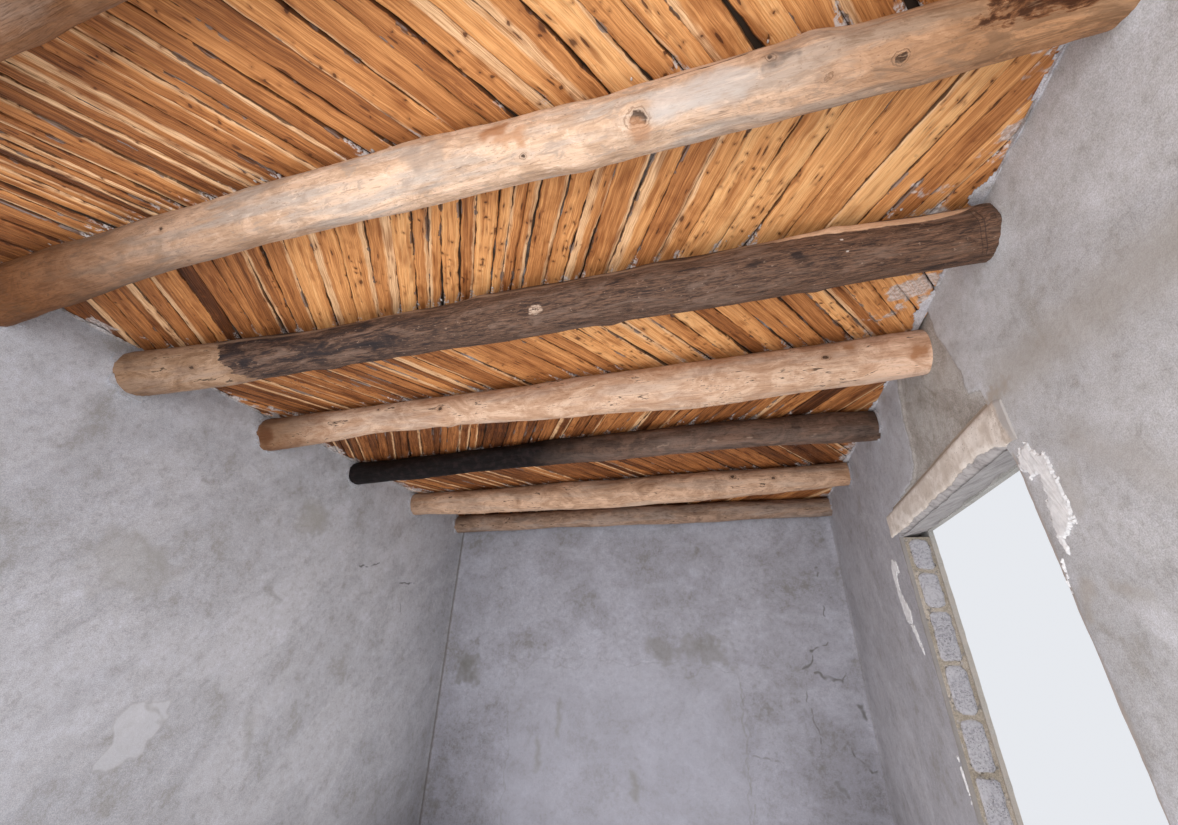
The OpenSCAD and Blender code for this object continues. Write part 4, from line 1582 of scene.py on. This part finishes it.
# Bare block ends at the jambs and at the walls' open front ends
blockWork = {
    "step": 0.0062,
    "course": 0.2,
    "bed": 0.018,
    "proud": 0.005,
    "groove": 0.012,
    "lap": 0.014,
    "shift": 0.004,
    "corner": 0.016,
    "cornerMore": 0.022,
    "ragged": 0.004,
    "sway": 0.0022,
    "grit": 0.0008,
    "bedGrit": 0.0022,
    "doorCourses": [0.0, 0.18, 0.38, 0.58, 0.78, 0.98, 1.18, 1.375, 1.575, 1.79, 1.96, 2.118],
}


def blockRelief(courses, blockLow, blockHigh, seed):
    def height(u, v):
        course = 0
        while course < len(courses) - 2 and v > courses[course + 1]:
            course += 1
        low = courses[course] + blockWork["bed"] / 2
        high = courses[course + 1] - blockWork["bed"] / 2
        shift = blockWork["shift"] * wobble(course * 3.7, seed, 0, 2)
        left = blockLow + shift
        right = blockHigh + shift
        corner = blockWork["corner"] + blockWork["cornerMore"] * clamp(wobble(course * 5.1, seed, 4, 6) + 0.3)
        du = max(left + corner - u, u - right + corner, 0)
        dv = max(low + corner - v, v - high + corner, 0)
        ragged = blockWork["ragged"] * roughness(u * 30, v * 30, course, seed, 3)
        inside = corner - math.hypot(du, dv) + ragged
        body = ease(inside, -0.001, 0.006)
        face = blockWork["proud"] + blockWork["sway"] * wobble(course * 2.3, seed, 7, 3)
        face += blockWork["grit"] * roughness(u * 60, v * 60, 0, seed, 2)
        bedFace = -0.001 + blockWork["bedGrit"] * roughness(u * 35, v * 35, 2, seed, 3)
        return mix(bedFace, face, body), body
    return height


def makeBlockMaterial():
    material, shader, space = newMaterial("block_ends")
    body = attribute("blockShare", "Fac")
    ragged = timesPlus(unevenAt(space, 90.0, 4), 0.5, body)
    isBlock = band(ragged, 0.42, 0.58)
    pits = use("pits", Vector=space, Scale=150.0, Size=0.34)
    grain = noiseAt(space, 130.0, 5, 0.7)
    cloud = noiseAt(space, 9.0, 4)
    block = blend(band(grain, 0.34, 0.58), (0.25, 0.243, 0.265), (0.42, 0.412, 0.45))
    block = blend(band(cloud, 0.45, 0.7, 0.0, 0.5), block, (0.5, 0.49, 0.52))
    block = blend(times(pits["Mask"], 0.7), block, (0.13, 0.12, 0.12))
    bed = blend(band(noiseAt(space, 45.0, 5, 0.65), 0.4, 0.62), (0.215, 0.195, 0.178), (0.42, 0.385, 0.365))
    holes = use("pits", Vector=space, Scale=60.0, Size=0.42)
    bed = blend(times(holes["Mask"], 0.85), bed, (0.06, 0.045, 0.035))
    colour = blend(isBlock, bed, block)
    height = timesPlus(pits["Mask"], -1.2, times(grain, 1.4))
    height = timesPlus(holes["Mask"], times(isBlock, 2.0), height)
    finishWith(shader, colour, 0.9, height)
    return material


def makeBlockEnd(name, spot, uRange, vRange, courses, seed, material):
    outer = blockWork["groove"] if "jamb" in name else 0.002
    inner = blockWork["lap"] if "jamb" in name else -0.004
    relief = blockRelief(courses, uRange[0] + inner, uRange[1] - outer, seed)
    piece = reliefSlab(name, spot, uRange, vRange, blockWork["step"], lambda u, v: relief(u, v)[0], 0.006,
                       material, rimRows=1)
    uSteps, vSteps = gridSteps(uRange, vRange, blockWork["step"])
    shares = [relief(mix(*uRange, i / uSteps), mix(*vRange, j / vSteps))[1]
              for i in range(uSteps + 1) for j in range(vSteps + 1)]
    shares += [0.0] * (len(piece.data.vertices) - len(shares))
    setValues(piece.data, "blockShare", shares)


def makeBlockEnds():
    finish = makeBlockMaterial()
    coreIn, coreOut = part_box("right_wall_far_pier")[0].x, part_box("right_wall_far_pier")[1].x
    courses = [0.0]
    while courses[-1] + blockWork["course"] < coreTop - 0.05:
        courses.append(courses[-1] + blockWork["course"])
    courses.append(coreTop - 0.002)
    doorCourses = blockWork["doorCourses"]
    ends = [
        ("far_jamb_block_ends", onPlane(1, farJamb, -1), doorHead - 0.001, doorCourses),
        ("near_jamb_block_ends", onPlane(1, nearJamb, 1), doorHead - 0.001, doorCourses),
        ("left_wall_front_blocks", lambda u, v, out: (-u, frontEdge - out, v), courses[-1], courses),
        ("right_wall_front_blocks", onPlane(1, frontEdge, -1), courses[-1], courses),
    ]
    for seed, (name, spot, high, rows) in enumerate(ends, 31):
        makeBlockEnd(name, spot, (coreIn, coreOut), (0.0, high), rows, seed, finish)


# Lintel: a beam with a smooth mortar face, a rough underside and worn edges

def makeLintelMaterial():
    material, shader, space = newMaterial("lintel_mortar")
    x, y, z = split(space)
    cloud = noiseAt(space, 11.0, 5, 0.66, 0.4)
    fine = noiseAt(space, 150.0, 3, 0.7)
    face = blend(band(cloud, 0.38, 0.62), (0.53, 0.465, 0.415), (0.7, 0.645, 0.605))
    face = blend(band(fine, 0.45, 0.28, 0.0, 0.4), face, (0.38, 0.325, 0.275))
    pits = use("pits", Vector=space, Scale=75.0, Size=0.2)
    face = blend(times(pits["Mask"], 0.7), face, (0.14, 0.11, 0.085))
    slanted = joined(timesPlus(y, 0.45, x), times(y, 0.1), z)
    marks = stretched(slanted, (85.0, 70.0, 26.0), 4, 0.72)
    under = blend(band(marks, 0.34, 0.6), (0.225, 0.212, 0.214), (0.4, 0.383, 0.39))
    under = blend(band(cloud, 0.5, 0.64, 0.0, 0.5), under, (0.44, 0.42, 0.425))
    inward = attribute("underShare", "Fac")
    ragged = timesPlus(minus(marks, 0.5), 0.8, inward)
    isUnder = band(ragged, 0.42, 0.58)
    colour = blend(isUnder, face, under)
    # painted shade in the groove along the lintel's top edge
    upper = attribute("topShare", "Fac")
    grooveShade = timesPlus(minus(cloud, 0.5), 1.1, upper)
    colour = blend(times(band(grooveShade, 0.2, 0.8), 0.8), colour, (0.27, 0.215, 0.165))
    lapped = timesPlus(z, 0.1, minus(lintelForm["lapAt"], y))
    lapped = timesPlus(minus(cloud, 0.5), 0.07, lapped)
    smudged = times(band(lapped, -0.075, -0.02), band(marks, 0.62, 0.4))
    colour = blend(times(smudged, 0.75), colour, (0.36, 0.295, 0.245))
    onFace = band(isUnder, 0.6, 0.2)
    colour = blend(times(band(lapped, -0.01, 0.006), onFace), colour, (0.4, 0.378, 0.372))
    height = timesPlus(times(marks, isUnder), 2.6, fine)
    finishWith(shader, colour, 0.88, height)
    return material


def makeLatticeBlock(name, low, high, step, shape, material, stands=()):
    counts = [max(1, round((high[k] - low[k]) / step)) for k in range(3)]
    index, points, faces = {}, [], []

    def corner(cell):
        if cell not in index:
            index[cell] = len(points)
            flat = Vector([mix(low[k], high[k], cell[k] / counts[k]) for k in range(3)])
            points.append(shape(flat))
        return index[cell]

    for axis in range(3):
        first, second = [k for k in range(3) if k != axis]
        for end in (0, counts[axis]):
            for i in range(counts[first]):
                for j in range(counts[second]):
                    ring = []
                    for di, dj in ((0, 0), (1, 0), (1, 1), (0, 1)):
                        cell = [0, 0, 0]
                        cell[axis], cell[first], cell[second] = end, i + di, j + dj
                        ring.append(corner(tuple(cell)))
                    faces.append(ring)
    return addPiece(name, points, faces, material, stands)


# The lintel rises a little towards the camera, and its lower inner edge is worn away
lintelForm = {"step": 0.009, "rise": 0.022, "barePast": 0.075, "wornHigh": 0.045, "wornDeep": 0.026,
              "outerRise": 0.026, "groove": 0.01, "lapAt": -0.797, "grit": 0.0016, "sway": 0.002,
              "rim": 0.012, "underGrit": 0.0035, "chamfer": 0.006, "chips": 0.008, "edgeReach": 0.03}


def makeLintel():
    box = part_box("door_lintel")
    low, high = box
    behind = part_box("right_wall_near_pier")[0].x
    tall = high.z - low.z
    form = lintelForm
    under, upper = [], []

    def shape(p):
        towards = ease(p.y, farJamb, nearJamb) * ease(p.y, nearJamb - 0.1, nearJamb - 0.03)
        lift = form["rise"] * towards
        share = (p.z - low.z) / tall
        worn = form["grit"] * roughness(p.x * 22, p.y * 22, p.z * 22, 41, 4)
        inFace = ease(p.x, low.x + form["rim"], low.x)
        x = p.x + inFace * (form["sway"] * wobble(0, p.y * 3, p.z * 8, 42) + worn)
        isLow = ease(p.z, low.z + form["rim"], low.z)
        z = p.z + lift * mix(0.45, 1.0, share)
        z += isLow * form["underGrit"] * roughness(p.x * 26 + p.y * 11, p.y * 7, 0, 43, 4)
        uneven = 1 + 0.5 * roughness(p.y * 5, p.x * 2, p.z * 5, 44, 4)
        wornHigh = form["wornHigh"] * uneven * (0.75 + 0.35 * towards)
        wornHigh *= ease(p.y, nearJamb - 0.04, nearJamb + 0.1)
        cut = clamp(1 - (p.z - low.z) / max(wornHigh, 0.01)) * inFace
        x += form["wornDeep"] * cut
        back = ease(p.x, low.x + form["edgeReach"], low.x) * isLow
        z += form["chamfer"] * back * cut
        outer = ease(p.x, high.x - form["edgeReach"], high.x) * isLow
        z += outer * form["chips"] * clamp(0.3 + 1.5 * roughness(p.y * 14, 0, 0, 46, 4))
        z += form["outerRise"] * clamp((p.x - low.x) / (high.x - low.x)) * (1 - share)
        groove = inFace * ease(p.z, high.z - 0.024, high.z - 0.004)
        x += groove * form["groove"]
        if p.y < nearJamb - form["barePast"]:
            x = max(x, behind)
        under.append(max(isLow, clamp(cut * 2.2)))
        upper.append(groove)
        return Vector((x, p.y, z))

    piece = makeLatticeBlock("lintel_beam", low, high, form["step"], shape, makeLintelMaterial(),
                             ("door_lintel",))
    setValues(piece.data, "underShare", under)
    setValues(piece.data, "topShare", upper)


# White gypsum smeared by the near jamb, and streaks along the far one
gypsum = {
    "step": 0.0024,
    "thick": 0.0032,
    "nearOutline": [(-0.568, 2.097), (-0.559, 2.048), (-0.593, 2.036), (-0.577, 2.018), (-0.626, 2.012),
                    (-0.622, 1.96), (-0.601, 1.93), (-0.59, 1.862), (-0.6, 1.826), (-0.607, 1.801),
                    (-0.625, 1.82), (-0.62, 1.845), (-0.686, 1.872), (-0.693, 1.93), (-0.694, 1.99),
                    (-0.688, 2.055), (-0.664, 2.066), (-0.651, 2.086), (-0.63, 2.116)],
    "nearStrip": [(-0.58, 1.808), (-0.566, 1.806), (-0.552, 1.765), (-0.549, 1.73), (-0.557, 1.732),
                  (-0.572, 1.775)],
    "farStreaks": [[(0.784, 2.062), (0.713, 2.035), (0.698, 1.968), (0.745, 1.974), (0.762, 1.96),
                    (0.767, 1.901), (0.724, 1.84), (0.69, 1.791), (0.711, 1.735), (0.695, 1.72),
                    (0.78, 1.748), (0.811, 1.801), (0.824, 1.879), (0.832, 1.975), (0.824, 2.01)],
                   [(0.69, 1.745), (0.76, 1.745), (0.712, 1.657), (0.668, 1.6), (0.65, 1.6),
                    (0.664, 1.656)],
                   [(0.594, 1.24), (0.614, 1.235), (0.594, 1.08), (0.578, 1.08)]],
}


def insideBy(outline, u, v):
    inside = False
    nearest = 9.0
    for (u0, v0), (u1, v1) in zip(outline, outline[1:] + outline[:1]):
        if (v0 > v) != (v1 > v) and u < (u1 - u0) * (v - v0) / (v1 - v0) + u0:
            inside = not inside
        span = max((u1 - u0) ** 2 + (v1 - v0) ** 2, 1e-9)
        t = clamp(((u - u0) * (u1 - u0) + (v - v0) * (v1 - v0)) / span)
        nearest = min(nearest, math.hypot(u - u0 - t * (u1 - u0), v - v0 - t * (v1 - v0)))
    return nearest if inside else -nearest


def makeGypsumMaterial():
    material, shader, space = newMaterial("white_gypsum")
    cloud = noiseAt(space, 40.0, 5, 0.6)
    colour = blend(band(cloud, 0.35, 0.6), (0.57, 0.57, 0.592), (0.71, 0.71, 0.735))
    x, y, z = split(space)
    brushed = joined(x, timesPlus(z, -0.35, y), z)
    streaks = stretched(brushed, (40.0, 150.0, 12.0), 4)
    colour = blend(band(streaks, 0.54, 0.7, 0.0, 0.5), colour, (0.45, 0.44, 0.45))
    finishWith(shader, colour, 0.85, timesPlus(streaks, 2.0, cloud))
    return material


def smearSwell(u, v):
    return nearJambRound(u, v) if u < 0 else 0


def smearPiece(name, outline, thick, seed, material):
    us = [p[0] for p in outline]
    vs = [p[1] for p in outline]

    def height(u, v):
        inside = insideBy(outline, u, v) - 0.004 + 0.008 * roughness(u * 60 - v * 20, v * 35, 0, seed, 4)
        inside += 0.007 * roughness(u * 190, v * 120, 3, seed, 2)
        body = ease(inside, 0.0, 0.006)
        ridges = 0.0011 * roughness((u - 0.35 * v) * 110, v * 8, 1, seed, 3)
        return -0.0015 + body * (thick + 0.0015 + ridges)
    reliefPatch(name, lambda u, v, out: (rightFace - out - 0.0015 - smearSwell(u, v), u, v),
                (min(us) - 0.02, max(us) + 0.02),
                (min(vs) - 0.02, max(vs) + 0.02), gypsum["step"], height, 0.008, material)


def makeGypsum():
    finish = makeGypsumMaterial()
    smearPiece("near_jamb_gypsum", gypsum["nearOutline"], gypsum["thick"], 51, finish)
    smearPiece("near_jamb_gypsum_strip", gypsum["nearStrip"], 0.003, 52, finish)
    for k, outline in enumerate(gypsum["farStreaks"]):
        smearPiece(f"far_pier_gypsum_{k + 1}", outline, 0.003, 53 + k, finish)


# Roof layer: packed earth with a cement skin
roofForm = {"step": 0.034, "edgeRough": 0.006, "sunk": 0.006, "sway": 0.005, "grit": 0.0015,
            "rounding": 0.012, "roundReach": 0.02}


def makeRoofMaterial():
    material, shader, space = newMaterial("roof_earth")
    cement = use("cementFinish", Vector=space, Base=(0.4, 0.375, 0.34), Light=(0.49, 0.46, 0.425),
                 Stain=(0.27, 0.235, 0.19), Stains=0.8, Grit=0.7, Clouds=0.9, Veins=0.7)
    earth = blend(band(noiseAt(space, 60.0, 5, 0.65), 0.4, 0.62), (0.22, 0.155, 0.1), (0.4, 0.31, 0.22))
    z = split(space)[2]
    wavy = timesPlus(unevenAt(space, 7.0, 4), 0.02, z)
    isEarth = band(wavy, roofTop - 0.028, roofTop - 0.034)
    colour = blend(isEarth, cement["Colour"], earth)
    finishWith(shader, colour, 0.92, timesPlus(isEarth, 3.0, cement["Height"]))
    return material


def makeRoof():
    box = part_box("roof_layer")

    def relief(u, v):
        edge = min(u - box[0].x, box[1].x - u, v - box[0].y, box[1].y - v)
        rounded = -roofForm["rounding"] * bell(max(edge, 0), roofForm["roundReach"])
        wavy = -roofForm["sunk"] + roofForm["sway"] * wobble(u * 0.8, v * 0.8, 6, 61)
        return wavy + roofForm["grit"] * roughness(u * 5, v * 5, 7, 61, 3) + rounded
    reliefSlab("roof_earth_layer", onPlane(2, box[1].z, 1), (box[0].x, box[1].x),
               (box[0].y, box[1].y), roofForm["step"], relief, box[1].z - box[0].z, makeRoofMaterial(),
               ("roof_layer",), roofForm["edgeRough"], rimRows=5)


# Crumbs of plaster where gaps between the slats meet a log
crumbs = {"count": 70, "seed": 71, "size": (0.002, 0.0042), "longer": (1.0, 2.2), "high": 0.45, "lumps": 0.8}


def makeCrumbs():
    material, shader, space = newMaterial("plaster_crumbs")
    cloud = noiseAt(space, 60.0, 4)
    colour = blend(band(cloud, 0.35, 0.65), (0.36, 0.32, 0.3), (0.6, 0.56, 0.54))
    finishWith(shader, colour, 0.95, cloud)
    draw = random.Random(crumbs["seed"])
    ball = bmesh.new()
    bmesh.ops.create_icosphere(ball, subdivisions=2, radius=1)
    shapePoints = [v.co.copy() for v in ball.verts]
    shapeFaces = [[v.index for v in f.verts] for f in ball.faces]
    ball.free()
    points, faces = [], []
    for _ in range(crumbs["count"]):
        number = draw.randint(2, logCount)
        x = fromLeft(draw.uniform(0.03, 0.97))
        y, z, radius = alongLog(number, x)
        side = draw.choice((-1, -1, 1))
        size = draw.uniform(*crumbs["size"])
        centre = Vector((x, y + side * (radius * 0.8 + draw.uniform(-0.002, 0.006)), slatUnder - 0.002))
        start = len(points)
        longer = draw.uniform(*crumbs["longer"])
        for p in shapePoints:
            seed = draw.random() * 0.001 + number + x
            grown = size * (1 + crumbs["lumps"] * wobble(p.x * 2.1, p.y * 2.1, p.z * 2.1, seed))
            points.append(centre + Vector((p.x * grown, p.y * grown * longer, p.z * grown * crumbs["high"])))
        faces += [[start + k for k in face] for face in shapeFaces]
    addPiece("plaster_crumbs", points, faces, material, sharpAt=70)


def makeMortarMaterial(name, base, light, stain):
    material, shader, space = newMaterial(name)
    cement = use("cementFinish", Vector=space, Base=base, Light=light, Stain=stain,
                 Stains=0.7, Grit=0.9, Clouds=5.0)
    finishWith(shader, cement["Colour"], cement["Rough"], cement["Height"])
    return material


makeCamera()
makeLight()
makeFloor()
print("camera, light and floor are ready")

for number in range(1, logCount + 1):
    makeLog(number)
print("logs are ready")

slatFinish = makeSlatMaterial()
for number in range(1, bayCount + 1):
    makeSlatBay(number, slatFinish)
makeBedding()
makeCrumbs()
print("slats are ready")

wallFinishes = {"left": makeWallMaterial("left_wall", 0.45, 0.6, 0.08),
                "back": makeWallMaterial("back_wall", 0.65, 0.55, 0.35),
                "right": makeWallMaterial("right_wall", 0.5, 0.6, 0.08),
                "overDoor": makeWallMaterial("right_wall", 0.5, 0.6, 0.08, True)}
makeInnerWalls(wallFinishes)
makeCollars(wallFinishes)
makeEdgeMortars()
makeOuterWalls()
makeBlockEnds()
makeLintel()
makeGypsum()
makeRoof()
coreFinish = makeMortarMaterial("core_mortar", (0.3, 0.26, 0.21), (0.4, 0.35, 0.3), (0.18, 0.15, 0.12))
for node in ("left_wall", "back_wall", "right_wall_far_pier", "right_wall_near_pier", "right_wall_over_door"):
    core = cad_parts[node].data
    core.materials.clear()
    core.materials.append(coreFinish)
print("walls and roof are ready")

triangles = sum(len(p.vertices) - 2 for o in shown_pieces() for p in o.data.polygons)
print("triangles:", triangles)
